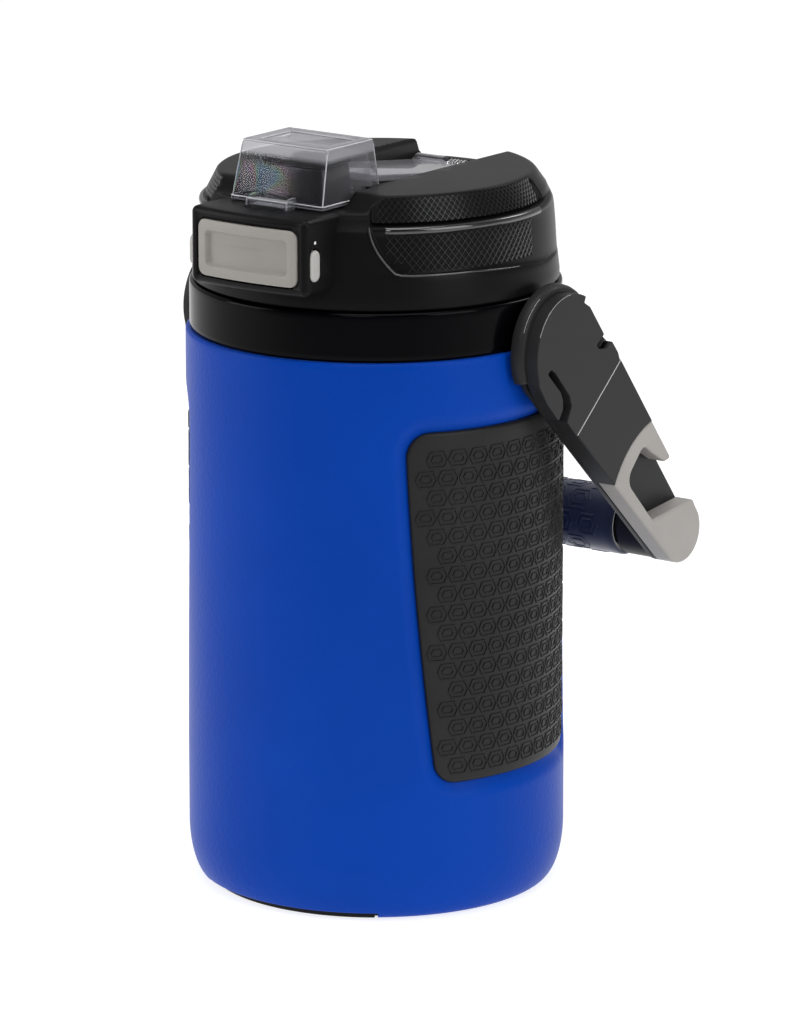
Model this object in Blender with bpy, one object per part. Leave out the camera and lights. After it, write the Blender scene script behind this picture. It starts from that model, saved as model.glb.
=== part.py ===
"""Insulated half-gallon water jug with a locking flip cap and a swinging hook handle.

The origin is the centre of the flat foot, +Z is up, the button faces -Y, and the handle hangs
against the back (+Y).  Every size below is in millimetres; MM turns it into Blender's metres.
"""

import math

import bmesh
import bpy
from mathutils import Matrix, Vector

MM = 0.001
GAP = 0.3                     # clearance between pieces that touch on the real object
ROUND_STEPS = 48              # facets round the body, collar and lid
HIDDEN_STEPS = 32             # facets round the pieces inside them

# Body
BODY_RADIUS = 70.0
SHELL_WALL = 4.0
SHELL_TOP = 209.2
SHELL_LOW = 0.5               # the shell's rim stands this much above the floor
FOOT_EDGE_RADIUS = 62.8       # where the rounded lower edge ends
EDGE_HEIGHT = 21.0            # height of the rounded lower edge
FLOOR_LOW = 3.8               # underside of the shell's floor
FLOOR_HIGH = 6.5
NOTCH_HALF_ANGLE = 37.0       # front notch that shows the foot pad
NOTCH_HEIGHT = 2.9
PAD_HIGH = 3.5
PAD_RADIUS = 60.1
LINER_RADIUS = 59.0
LINER_WALL = 2.0
LINER_LOW = 16.0
LINER_SHOULDER = 203.0
NECK_RADIUS = 53.0
NECK_TOP = 244.0
MOUTH_RADIUS = 50.5

# Grip panels, centred on +X and -X
GRIP_LOW = 51.4
GRIP_HIGH = 183.0
GRIP_CORNER = 9.0
GRIP_CORNER_ANGLE = 7.5
GRIP_OUTER_RADIUS = 68.9
GRIP_INNER_RADIUS = 67.5

# Collar and handle pivots
COLLAR_RADIUS = 68.5
COLLAR_LOW = 209.5
COLLAR_TOP = 227.3
PIVOT_Y = 9.2
PIVOT_Z = 207.4
LUG_RADIUS = 15.0
LUG_FACE = 70.2
STUB_RADIUS = 8.0
STUB_END = 76.5

# Handle.  u runs along the arm from the pivot, v across it, towards the back and top.
ARM_ANGLE = 49.7              # below the horizontal, as it hangs
ARM_INNER = 70.5
ARM_OUTER = 81.0
PLATE_OUTER = 73.0            # outer face of the thin plate behind the hook
HUB_LEDGE = 78.3              # face that the hub cover sits on
HUB_RADIUS = 20.2
SEAM_U = 27.8
HOOK_U = 57.8                 # where the grey hook starts, on the arm's centre line
HOOK_ARC = 38.0               # radius of that curved joint
BAR_U = 110.3
BAR_V = 3.5
ARM_END_RADIUS = 12.0
ROD_RADIUS = 8.0
ROD_END = 70.0
SLEEVE_RADIUS = 12.7
SLEEVE_END = 57.0
SCREW_RADIUS = 2.0
SCREW_HEAD_RADIUS = 4.6

# Lid
LID_LOW = 227.8
LID_RADIUS = 67.4
CROWN_TOP = 268.0
CHANNEL_HALF = 21.3
CHANNEL_FLOOR = 262.5
FRONT_STEP_Y = -34.0          # in front of this the crown is cut down to the channel floor
THREAD_PITCH = 4.0
THREAD_TURNS = 1.75
THREAD_DEPTH = 1.8
THREAD_WIDTH = 1.6
NECK_THREAD_LOW = 230.3
INSERT_THREAD_LOW = 232.3
SKIRT_INNER = 64.4            # inside of the lid's skirt
SHOULDER_UNDER = 255.0        # underside of the lid's shoulder
CROWN_UNDER = 264.5           # underside of the crown
CHANNEL_UNDER = 259.3         # underside of the channel's floor
HINGE_UNDER = 251.5           # underside of the hinge pocket's floor
RING_OUTER = 58.3             # ring under the crown that holds the threaded insert
RING_INNER = 55.3
RING_LOW = 249.5
INSERT_RADIUS = 58.0
INSERT_BORE = 55.6
INSERT_LOW = 229.0
INSERT_FLOOR = 246.9
INSERT_TOP = 249.2
HOUSING_HALF = 26.3
HOUSING_LOW = 233.3
HOUSING_TOP = 262.2
HOUSING_FRONT = -79.0
HOUSING_SAG = 4.0             # how far the front face curves back at its sides
BUTTON_HALF = 22.1
BUTTON_Z = 248.2
BUTTON_HALF_HEIGHT = 10.3
BUTTON_FACE_Y = -77.2
BUTTON_BACK_Y = -74.4
LOCK_Y = -71.6
LOCK_Z = 246.0
LOCK_LEFT = -28.6
LOCK_RIGHT = 26.7
BUTTON_BAY_BACK = -66.6
TAB_SLOT_FRONT = -67.4
TAB_SLOT_BACK = -62.5
CATCH_LOW = 256.0             # underside of the button's two ribs
CATCH_HIGH = 258.2
CATCH_BACK = -60.4

# Spout and cap
SPOUT_Y = -42.0
SPOUT_TOP = 276.0
SPOUT_BORE_HALF = 12.0
SPOUT_BORE_REACH = 8.0
CAP_HINGE_Y = 52.0
CAP_HINGE_Z = 259.5
POCKET_FRONT = 14.0           # hinge pocket behind the channel's floor
POCKET_LOW = 255.0
CAP_LOW = 263.1
CAP_TOP = 284.7
CAP_WALL = 2.2
CAP_ROOF = 4.6                # thick top panel, dished in the middle
CAP_ARM_HALF = 18.0
CAP_ARM_THICKNESS = 2.6
CAP_ARM_FRONT = -26.0         # where the arm runs into the box
CAP_ARM_FRONT_Z = 269.4
BARREL_RADIUS = 3.4
PIN_RADIUS = 1.5
TAB_HALF = 9.1
TAB_FRONT = -66.3
TAB_REAR = -64.9
NOSE_REAR = -64.2             # the small hook at the tab's foot
NOSE_LOW = 255.8
CAP_SPRING_RADIUS = 2.6
BUTTON_SPRING_RADIUS = 1.9
BUTTON_SPRING_Z = 251.3


def clear_scene():
    for thing in list(bpy.data.objects):
        bpy.data.objects.remove(thing, do_unlink=True)


def finish(name, colour, roughness, metallic=0.0, alpha=1.0):
    """A plain Principled material."""
    made = bpy.data.materials.new(name)
    made.use_nodes = True
    shader = made.node_tree.nodes["Principled BSDF"]
    shader.inputs["Base Color"].default_value = (*colour, 1.0)
    shader.inputs["Roughness"].default_value = roughness
    shader.inputs["Metallic"].default_value = metallic
    shader.inputs["Alpha"].default_value = alpha
    return made


def pivot_empty(name, x, y, z):
    """An empty on a joint's axis, for the moving pieces to hang from."""
    made = bpy.data.objects.new(name, None)
    made.location = (x * MM, y * MM, z * MM)
    bpy.context.collection.objects.link(made)
    return made


def add_piece(name, solid, look, pivot=None):
    """Turn a bmesh in millimetres into a named object, smooth where it is round."""
    bmesh.ops.recalc_face_normals(solid, faces=solid.faces)
    if solid.calc_volume(signed=True) < 0:
        bmesh.ops.reverse_faces(solid, faces=solid.faces)
    bmesh.ops.scale(solid, vec=(MM, MM, MM), verts=solid.verts)
    mesh = bpy.data.meshes.new(name)
    solid.to_mesh(mesh)
    solid.free()
    mesh.shade_smooth()
    mesh.set_sharp_from_angle(angle=math.radians(35))
    made = bpy.data.objects.new(name, mesh)
    bpy.context.collection.objects.link(made)
    if look is not None:
        mesh.materials.append(look)
    if pivot is not None:
        made.parent = pivot
        made.matrix_parent_inverse = Matrix.Translation(-Vector(pivot.location))
    return made


def combine(target, operation, *solids):
    """Cut away or join hidden solids, each with its own Boolean modifier."""
    for number, solid in enumerate(solids):
        tool = solid
        if isinstance(solid, bmesh.types.BMesh):
            tool = add_piece(f"{operation.lower()}_{target.name}_{len(target.modifiers)}", solid, None)
        tool.hide_render = True
        tool.display_type = "WIRE"
        step = target.modifiers.new(f"{operation.lower()}_{number}", "BOOLEAN")
        step.operation = operation
        step.solver = "EXACT"
        step.object = tool


def cut(target, *solids):
    combine(target, "DIFFERENCE", *solids)


def join(target, *solids):
    combine(target, "UNION", *solids)


def lathe(profile, steps=ROUND_STEPS):
    """Turn a closed (radius, height) outline about Z; points on the axis become one vertex."""
    solid = bmesh.new()
    rings = []
    for radius, height in profile:
        if radius < 1e-6:
            rings.append([solid.verts.new((0.0, 0.0, height))] * steps)
            continue
        ring = []
        for step in range(steps):
            turn = math.tau * step / steps
            ring.append(solid.verts.new((radius * math.cos(turn), radius * math.sin(turn), height)))
        rings.append(ring)
    for lower, upper in zip(rings, rings[1:] + rings[:1]):
        if lower[0] is lower[1] and upper[0] is upper[1]:
            continue
        for step in range(steps):
            after = (step + 1) % steps
            corners = []
            for corner in (lower[step], lower[after], upper[after], upper[step]):
                if corner not in corners:
                    corners.append(corner)
            solid.faces.new(corners)
    return solid


def prism(outline, low, high, axis="Z"):
    """Extrude a flat outline.  Its points are (x, y) for Z, (y, z) for X and (x, z) for Y."""
    spots = {
        "X": lambda a, b, c: (c, a, b),
        "Y": lambda a, b, c: (a, c, b),
        "Z": lambda a, b, c: (a, b, c),
    }[axis]
    solid = bmesh.new()
    first = [solid.verts.new(spots(a, b, low)) for a, b in outline]
    second = [solid.verts.new(spots(a, b, high)) for a, b in outline]
    solid.faces.new(first)
    solid.faces.new(second[::-1])
    for step in range(len(outline)):
        after = (step + 1) % len(outline)
        solid.faces.new((first[step], second[step], second[after], first[after]))
    return solid


def box(x_low, x_high, y_low, y_high, z_low, z_high):
    outline = [(x_low, y_low), (x_high, y_low), (x_high, y_high), (x_low, y_high)]
    return prism(outline, z_low, z_high)


def disc(centre_a, centre_b, radius, steps=32):
    return arc(centre_a, centre_b, radius, 0.0, 360.0 * (steps - 1) / steps, steps)


def arc(centre_a, centre_b, radius, start, end, points=9):
    """Points on an arc, with its angles in degrees."""
    turns = [math.radians(start + (end - start) * step / (points - 1)) for step in range(points)]
    return [(centre_a + radius * math.cos(t), centre_b + radius * math.sin(t)) for t in turns]


def rounded(corners, points=6):
    """Round each corner (a, b, radius) of an outline with an arc of that radius."""
    outline = []
    for index, (a, b, radius) in enumerate(corners):
        here = Vector((a, b))
        before = Vector(corners[index - 1][:2]) - here
        after = Vector(corners[(index + 1) % len(corners)][:2]) - here
        if radius <= 0:
            outline.append((a, b))
            continue
        before.normalize()
        after.normalize()
        half = before.angle(after) / 2
        middle = here + (before + after).normalized() * (radius / math.sin(half))
        first = here + before * (radius / math.tan(half)) - middle
        last = here + after * (radius / math.tan(half)) - middle
        turn = first.angle_signed(last)
        for step in range(points):
            spun = Matrix.Rotation(-turn * step / (points - 1), 2) @ first
            outline.append(tuple(middle + spun))
    return outline


def rounded_rectangle(a_low, a_high, b_low, b_high, radius, points=6):
    corners = [(a_low, b_low), (a_high, b_low), (a_high, b_high), (a_low, b_high)]
    return rounded([(a, b, radius) for a, b in corners], points)


def frustum(low_outline, low, high_outline, high):
    """A solid between two level outlines with the same number of points."""
    solid = bmesh.new()
    first = [solid.verts.new((a, b, low)) for a, b in low_outline]
    second = [solid.verts.new((a, b, high)) for a, b in high_outline]
    solid.faces.new(first[::-1])
    solid.faces.new(second)
    for step in range(len(first)):
        after = (step + 1) % len(first)
        solid.faces.new((first[step], first[after], second[after], second[step]))
    return solid


def wrapped(rows, inner, outer, side=1, columns=12):
    """A curved panel on a cylinder.  Rows are (height, start angle, end angle) about +X."""
    solid = bmesh.new()
    skins = []
    for radius in (inner, outer):
        grid = []
        for height, start, end in rows:
            line = []
            for column in range(columns + 1):
                turn = math.radians(start + (end - start) * column / columns)
                spot = (side * radius * math.cos(turn), radius * math.sin(turn), height)
                line.append(solid.verts.new(spot))
            grid.append(line)
        skins.append(grid)
    last = len(rows) - 1
    for row in range(last):
        for column in range(columns):
            for grid in skins:
                solid.faces.new((grid[row][column], grid[row][column + 1],
                                 grid[row + 1][column + 1], grid[row + 1][column]))
        for column in (0, columns):
            solid.faces.new((skins[0][row][column], skins[1][row][column],
                             skins[1][row + 1][column], skins[0][row + 1][column]))
    for row in (0, last):
        for column in range(columns):
            solid.faces.new((skins[0][row][column], skins[1][row][column],
                             skins[1][row][column + 1], skins[0][row][column + 1]))
    return solid


def thread_ridge(root, crest, start_height, steps_per_turn=24):
    """A right-handed thread ridge that tapers to nothing at both ends."""
    solid = bmesh.new()
    steps = round(THREAD_TURNS * steps_per_turn)
    previous = None
    for step in range(steps + 1):
        turn = math.tau * step / steps_per_turn
        height = start_height + THREAD_PITCH * step / steps_per_turn
        rise = min(1.0, 0.25 + min(step, steps - step) / 4)
        top = root + (crest - root) * rise
        foot = root + math.copysign(0.6, root - crest)
        section = [(foot, -THREAD_WIDTH / 2), (top, -THREAD_WIDTH / 4), (top, THREAD_WIDTH / 4),
                   (foot, THREAD_WIDTH / 2)]
        ring = [solid.verts.new((r * math.cos(turn), r * math.sin(turn), height + z))
                for r, z in section]
        if previous is None:
            solid.faces.new(ring)
        else:
            for side in range(4):
                after = (side + 1) % 4
                solid.faces.new((previous[side], previous[after], ring[after], ring[side]))
        previous = ring
    solid.faces.new(previous[::-1])
    return solid


def coil(name, spots, wire, look, pivot):
    """A spring as a capped wire along its own points."""
    curve = bpy.data.curves.new(name, "CURVE")
    curve.dimensions = "3D"
    curve.bevel_depth = wire * MM
    curve.bevel_resolution = 1
    curve.use_fill_caps = True
    spline = curve.splines.new("POLY")
    spline.points.add(len(spots) - 1)
    for point, spot in zip(spline.points, spots):
        point.co = (*(value * MM for value in spot), 1.0)
    curve.materials.append(look)
    made = bpy.data.objects.new(name, curve)
    bpy.context.collection.objects.link(made)
    made.parent = pivot
    made.matrix_parent_inverse = Matrix.Translation(-Vector(pivot.location))
    return made


# ---- Body ------------------------------------------------------------------------------------

def grip_rows(margin):
    """Half-angles of the grip panel at each height, with rounded corners."""
    low = GRIP_LOW - margin
    high = GRIP_HIGH + margin
    angles = [90 * step / 4 for step in range(5)]
    lower = [low + GRIP_CORNER * (1 - math.cos(math.radians(a))) for a in angles]
    upper = [high - GRIP_CORNER * (1 - math.cos(math.radians(a))) for a in angles[::-1]]
    middle = [low + GRIP_CORNER + (high - low - 2 * GRIP_CORNER) * step / 4 for step in range(1, 4)]
    rows = []
    for height in lower + middle + upper:
        share = (height - 65) / 105
        half = 36.2 + 7.9 * share + 3.4 * share * (1 - share)
        depth = min(height - low, high - height)
        if depth < GRIP_CORNER:
            lean = 1 - depth / GRIP_CORNER
            half -= GRIP_CORNER_ANGLE * (1 - math.sqrt(max(0.0, 1 - lean * lean)))
        half += math.degrees(margin / BODY_RADIUS)
        rows.append((height, -half, half))
    return rows


def lug_rows(radius, top):
    """The U-shaped lug that reaches down from the collar over the shell."""
    rows = []
    centre = math.degrees(math.asin(PIVOT_Y / BODY_RADIUS))
    for step in range(9):
        turn = math.radians(8 + 82 * step / 8)
        half = math.degrees(radius * math.sin(turn) / BODY_RADIUS)
        rows.append((PIVOT_Z - radius * math.cos(turn), centre - half, centre + half))
    half = math.degrees(radius / BODY_RADIUS)
    rows.append((top, centre - half, centre + half))
    return rows


def make_outer_shell():
    inner = BODY_RADIUS - SHELL_WALL
    edge = []
    for step in range(7):
        turn = math.radians(90 * step / 6)
        edge.append((FOOT_EDGE_RADIUS + (BODY_RADIUS - FOOT_EDGE_RADIUS) * math.sin(turn),
                     SHELL_LOW + EDGE_HEIGHT * (1 - math.cos(turn))))
    profile = [(PAD_RADIUS + 0.4, SHELL_LOW)] + edge
    profile += [(BODY_RADIUS, SHELL_TOP - 1), (BODY_RADIUS - 1, SHELL_TOP), (inner, SHELL_TOP)]
    profile += [(inner, FLOOR_HIGH + 3.5), (inner - 2.2, FLOOR_HIGH), (0, FLOOR_HIGH)]
    profile += [(0, FLOOR_LOW), (PAD_RADIUS + 0.4, FLOOR_LOW)]
    shell = add_piece("outer_shell", lathe(profile), BLUE)
    for side in (1, -1):
        cut(shell, wrapped(grip_rows(GAP), GRIP_INNER_RADIUS - GAP, BODY_RADIUS + 3, side))
        cut(shell, wrapped(lug_rows(LUG_RADIUS + 0.5, SHELL_TOP + 4), inner - 3, BODY_RADIUS + 4,
                           side, 8))
    front = [(-1, -90 - NOTCH_HALF_ANGLE, -90 + NOTCH_HALF_ANGLE),
             (NOTCH_HEIGHT, -90 - NOTCH_HALF_ANGLE, -90 + NOTCH_HALF_ANGLE)]
    cut(shell, wrapped(front, PAD_RADIUS - 2, BODY_RADIUS + 2))


def make_foot_pad():
    reach = NOTCH_HALF_ANGLE - 1
    outline = arc(0, 0, FOOT_EDGE_RADIUS - 0.6, 270 - reach, 270 + reach, 15)
    outline += arc(0, 0, PAD_RADIUS, 270 + reach, 630 - reach, 57)
    pad = add_piece("foot_pad", prism(outline, 0, NOTCH_HEIGHT - GAP), BLACK_RUBBER)
    join(pad, lathe([(0, NOTCH_HEIGHT - 1), (0, PAD_HIGH), (PAD_RADIUS - 3, PAD_HIGH),
                     (PAD_RADIUS - 3, NOTCH_HEIGHT - 1)]))


def make_foam():
    outer = BODY_RADIUS - SHELL_WALL - GAP
    inner = LINER_RADIUS + GAP
    low = FLOOR_HIGH + GAP
    add_piece("foam_insulation", lathe([
        (0, low), (outer - 2.2, low), (outer, low + 3.5), (outer, LINER_SHOULDER - 1),
        (inner, LINER_SHOULDER - 1), (inner, LINER_LOW + 3.2), (inner - 3.5, LINER_LOW - GAP),
        (0, LINER_LOW - GAP)], HIDDEN_STEPS), FOAM)


def make_liner():
    inside = LINER_RADIUS - LINER_WALL
    flange = BODY_RADIUS - SHELL_WALL - 0.5
    profile = [
        (0, LINER_LOW), (LINER_RADIUS - 3.5, LINER_LOW), (LINER_RADIUS, LINER_LOW + 3.5),
        (LINER_RADIUS, LINER_SHOULDER + 1), (flange, LINER_SHOULDER + 1),
        (flange, LINER_SHOULDER + 3.5), (NECK_RADIUS + 2, LINER_SHOULDER + 5.5),
        (NECK_RADIUS, LINER_SHOULDER + 8), (NECK_RADIUS, NECK_TOP - 0.8),
        (NECK_RADIUS - 0.8, NECK_TOP), (MOUTH_RADIUS, NECK_TOP),
        (MOUTH_RADIUS, LINER_SHOULDER + 7), (inside, LINER_SHOULDER),
        (inside, LINER_LOW + LINER_WALL + 2.5), (inside - 2.5, LINER_LOW + LINER_WALL),
        (0, LINER_LOW + LINER_WALL)]
    liner = add_piece("inner_liner", lathe(profile, HIDDEN_STEPS), LINER_WHITE)
    join(liner, thread_ridge(NECK_RADIUS, NECK_RADIUS + THREAD_DEPTH, NECK_THREAD_LOW))


def make_grip_panels():
    for side, name in ((1, "grip_panel_right"), (-1, "grip_panel_left")):
        panel = wrapped(grip_rows(0), GRIP_INNER_RADIUS, GRIP_OUTER_RADIUS, side)
        add_piece(name, panel, BLACK_RUBBER)


def make_collar():
    outer_wall = 2.5
    deck = COLLAR_TOP - 2.8
    skirt = NECK_RADIUS + 4.3
    profile = [
        (COLLAR_RADIUS - outer_wall, COLLAR_LOW), (COLLAR_RADIUS, COLLAR_LOW),
        (COLLAR_RADIUS, COLLAR_TOP - 0.8), (COLLAR_RADIUS - 0.8, COLLAR_TOP),
        (NECK_RADIUS + 1.5, COLLAR_TOP), (NECK_RADIUS + 1.5, COLLAR_LOW + 3.5),
        (skirt, COLLAR_LOW + 3.5), (skirt, deck), (COLLAR_RADIUS - outer_wall, deck)]
    collar = add_piece("neck_collar", lathe(profile), BLACK_GLOSS)
    for side in (1, -1):
        join(collar, wrapped(lug_rows(LUG_RADIUS, COLLAR_TOP - 3), COLLAR_RADIUS - 2.1, LUG_FACE,
                             side, 8))
        join(collar, prism(disc(PIVOT_Y, PIVOT_Z, STUB_RADIUS), side * 67.5, side * STUB_END, "X"))
        cut(collar, prism(disc(PIVOT_Y, PIVOT_Z, SCREW_RADIUS + GAP, 16), side * 68.5, side * 80,
                          "X"))


def make_pivot_screws():
    for side, name in ((1, "pivot_screw_right"), (-1, "pivot_screw_left")):
        head = prism(disc(PIVOT_Y, PIVOT_Z, STUB_RADIUS + 1.2, 24), side * (STUB_END + GAP),
                     side * (STUB_END + 1.6), "X")
        screw = add_piece(name, head, STEEL)
        join(screw, prism(disc(PIVOT_Y, PIVOT_Z, SCREW_RADIUS, 16), side * 69.0,
                          side * (STUB_END + 1), "X"))


# ---- Handle ----------------------------------------------------------------------------------

def on_arm(outline):
    """Move an outline from the arm's own (u, v) into the (y, z) plane."""
    lean = math.radians(ARM_ANGLE)
    return [(PIVOT_Y + u * math.cos(lean) + v * math.sin(lean),
             PIVOT_Z - u * math.sin(lean) + v * math.cos(lean)) for u, v in outline]


def strap_outline(shrink=0.0):
    """The whole arm: a taper between the hub's circle and the circle round the bar."""
    hub = HUB_RADIUS - shrink
    end = ARM_END_RADIUS - shrink
    reach = math.hypot(BAR_U, BAR_V)
    rise = math.degrees(math.atan2(BAR_V, BAR_U))
    tangent = math.degrees(math.acos((hub - end) / reach))
    outline = arc(0, 0, hub, rise + tangent, rise + 360 - tangent, 25)
    outline += arc(BAR_U, BAR_V, end, rise - tangent, rise + tangent, 17)
    return outline


def beyond_hook_joint(shift=0.0):
    """Everything past the curved joint between the black arm and the grey hook."""
    centre = HOOK_U + HOOK_ARC + shift
    outline = arc(centre, 1.5, HOOK_ARC, 138, 222, 15)
    outline += [(160, outline[-1][1]), (160, outline[0][1])]
    return outline


def hook_slot():
    """The open slot of the hook, with a round inner end and an undercut tip."""
    return rounded([(84, 24, 0), (80.5, 13.6, 1.2), (70.5, 9.6, 2.5), (64.6, 8.2, 3), (66.2, -7.6, 5),
                    (91.2, -6.1, 1.2), (105.3, 15.4, 1.5), (111, 24, 0)], 5)


def make_handle():
    pivot = pivot_empty("handle_pivot", 0, PIVOT_Y, PIVOT_Z)
    bar_y, bar_z = on_arm([(BAR_U, BAR_V)])[0]
    wide = 40
    for side, hand in ((1, "right"), (-1, "left")):
        arm = add_piece(f"handle_arm_{hand}", prism(on_arm(strap_outline()), side * ARM_INNER,
                                                    side * ARM_OUTER, "X"), BLACK_SATIN, pivot)
        cut(arm, prism(on_arm([(-wide, -wide), (SEAM_U + GAP, -wide), (SEAM_U + GAP, wide),
                               (-wide, wide)]), side * HUB_LEDGE, side * 90, "X"))
        cut(arm, prism(on_arm(beyond_hook_joint()), side * PLATE_OUTER, side * 90, "X"))
        join(arm, prism(disc(bar_y, bar_z, ARM_END_RADIUS - 0.4), side * (SLEEVE_END + GAP),
                        side * (ARM_INNER + 1), "X"))
        cut(arm, prism(disc(bar_y, bar_z, ROD_RADIUS + GAP), side * 50, side * (ROD_END + 0.4), "X"))
        cut(arm, prism(disc(bar_y, bar_z, SCREW_RADIUS + GAP, 16), side * 60, side * 80, "X"))
        cut(arm, prism(disc(PIVOT_Y, PIVOT_Z, STUB_RADIUS + 0.4), side * 60, side * 90, "X"))
        cut(arm, prism(disc(PIVOT_Y, PIVOT_Z, STUB_RADIUS + 1.6), side * STUB_END, side * 90, "X"))

        cover = add_piece(f"hub_cover_{hand}", prism(on_arm(hub_outline()), side * (HUB_LEDGE + GAP),
                                                     side * ARM_OUTER, "X"), BLACK_SATIN, pivot)
        cut(cover, prism(on_arm([(SEAM_U, -wide), (wide, -wide), (wide, wide), (SEAM_U, wide)]),
                         side * 60, side * 90, "X"))

        hook = add_piece(f"fence_hook_{hand}", prism(on_arm(strap_outline()),
                                                     side * (PLATE_OUTER + GAP),
                                                     side * ARM_OUTER, "X"), WARM_GREY, pivot)
        cut(hook, prism(on_arm(before_hook_joint()), side * 60, side * 90, "X"))
        cut(hook, prism(on_arm(hook_slot()), side * 60, side * 90, "X"))
        cut(hook, prism(disc(bar_y, bar_z, SCREW_HEAD_RADIUS + 0.6), side * 60, side * 76.4, "X"))

        head = prism(disc(bar_y, bar_z, SCREW_HEAD_RADIUS, 24), side * (PLATE_OUTER + GAP),
                     side * 75.8, "X")
        screw = add_piece(f"bar_screw_{hand}", head, STEEL, pivot)
        join(screw, prism(disc(bar_y, bar_z, SCREW_RADIUS, 16), side * 62.5, side * 74.5, "X"))

    rod = add_piece("handle_bar", prism(disc(bar_y, bar_z, ROD_RADIUS), -ROD_END, ROD_END, "X"),
                    BLACK_SATIN, pivot)
    for side in (1, -1):
        cut(rod, prism(disc(bar_y, bar_z, SCREW_RADIUS + GAP, 16), side * 62, side * 72, "X"))
    sleeve = add_piece("handle_grip", prism(disc(bar_y, bar_z, SLEEVE_RADIUS), -SLEEVE_END,
                                            SLEEVE_END, "X"), SLEEVE_NAVY, pivot)
    cut(sleeve, prism(disc(bar_y, bar_z, ROD_RADIUS + GAP), -60, 60, "X"))


def before_hook_joint():
    """Everything up to the curved joint, with the gap that the hook keeps to the arm."""
    centre = HOOK_U + HOOK_ARC + GAP
    curved = arc(centre, 1.5, HOOK_ARC, 138, 222, 15)
    return curved + [(-60, curved[-1][1]), (-60, curved[0][1])]


def hub_outline():
    """The hub cover: the pivot's disc with the two shoulders beside the seam."""
    shoulder = HUB_RADIUS - 0.1
    return rounded([(8, shoulder, 0), (13, shoulder - 1.6, 1), (16.5, shoulder - 0.2, 1),
                    (40, shoulder - 1.6, 0), (40, -15.5, 0), (17, -17.9, 1), (13, -19.6, 1),
                    (6, -19.2, 0)], 3) + arc(0, 0, HUB_RADIUS, -78, -282, 21)


# ---- Lid -------------------------------------------------------------------------------------

def lid_profile():
    return [(LID_RADIUS - 0.7, LID_LOW), (LID_RADIUS, LID_LOW + 0.7), (LID_RADIUS, 232),
            (66.7, 240), (65.9, 248), (65, 256), (63.7, 259.5), (61.6, 263.5), (58.9, 266.9),
            (57, CROWN_TOP), (0, CROWN_TOP), (0, LID_LOW)]


def lid_cavity(lid):
    """The hollow under the lid; it stops short of the channel and the hinge."""
    hollow = add_piece("cavity_of_lid", lathe([
        (0, LID_LOW - 5), (SKIRT_INNER, LID_LOW - 5), (SKIRT_INNER, SHOULDER_UNDER - 4),
        (SKIRT_INNER - 2.9, SHOULDER_UNDER), (RING_OUTER, SHOULDER_UNDER), (RING_OUTER, RING_LOW),
        (RING_INNER, RING_LOW), (RING_INNER, CROWN_UNDER), (0, CROWN_UNDER)]), None)
    cut(hollow, box(-24, 24, -70, 28, CHANNEL_UNDER, 270))
    cut(hollow, box(-70, 70, -70, FRONT_STEP_Y + 3, CHANNEL_UNDER, 270))
    cut(hollow, box(-27, 27, POCKET_FRONT - 3, 70, HINGE_UNDER, 271))
    cut(lid, hollow)


def housing_outline(grow=0.0):
    """The plan of the front housing: straight sides and a curved front."""
    half = HOUSING_HALF + grow
    radius = (HOUSING_HALF ** 2 + HOUSING_SAG ** 2) / (2 * HOUSING_SAG)
    reach = math.degrees(math.asin((HOUSING_HALF - 2.5) / radius))
    front = arc(0, HOUSING_FRONT + radius, radius + grow, -90 - reach, -90 + reach, 13)
    edge = front[-1][1] + 2.5
    return front + [(half, edge), (half, -58), (-half, -58), (-half, edge)]


def make_lid_shell(pivot):
    lid = add_piece("lid_shell", lathe(lid_profile()), BLACK_SATIN, pivot)
    join(lid, prism(housing_outline(), HOUSING_LOW, HOUSING_TOP))
    lid_cavity(lid)
    cut(lid, box(-CHANNEL_HALF, CHANNEL_HALF, FRONT_STEP_Y - 1, 80, CHANNEL_FLOOR, 280))
    cut(lid, box(-80, 80, -80, FRONT_STEP_Y, CHANNEL_FLOOR, 280))
    cut(lid, box(-80, 80, CAP_HINGE_Y + 5, 80, 261, 280))
    cut(lid, prism(rounded_rectangle(-15.5, 15.5, SPOUT_Y - 11.5, SPOUT_Y + 11.5, 5), 250, 290))
    half = BUTTON_HALF + 0.4
    reach = BUTTON_HALF_HEIGHT + 0.4
    cut(lid, prism(rounded_rectangle(-half, half, BUTTON_Z - reach, BUTTON_Z + reach, 3.5), -85,
                   BUTTON_BAY_BACK, "Y"))
    cut(lid, box(-15, 15, BUTTON_BAY_BACK - 0.6, -57.4, CATCH_LOW - 1.5, 260.6))
    cut(lid, box(-TAB_HALF - GAP, TAB_HALF + GAP, TAB_SLOT_FRONT, TAB_SLOT_BACK, 258, 280))
    cut(lid, prism(rounded_rectangle(LOCK_Y - 3.5, LOCK_Y + 3.5, LOCK_Z - 6.2, LOCK_Z + 6.2, 3.4), -40,
                   40, "X"))
    cut(lid, box(-CHANNEL_HALF, CHANNEL_HALF, POCKET_FRONT, 56.8, POCKET_LOW, 280))
    cut(lid, prism(disc(CAP_HINGE_Y, CAP_HINGE_Z, PIN_RADIUS + GAP, 16), -25.4, 25.4, "X"))
    for side in (1, -1):
        cut(lid, wrapped([(241, -55, 55), (256.5, -55, 55)], 64.7, 75, side))


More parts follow.
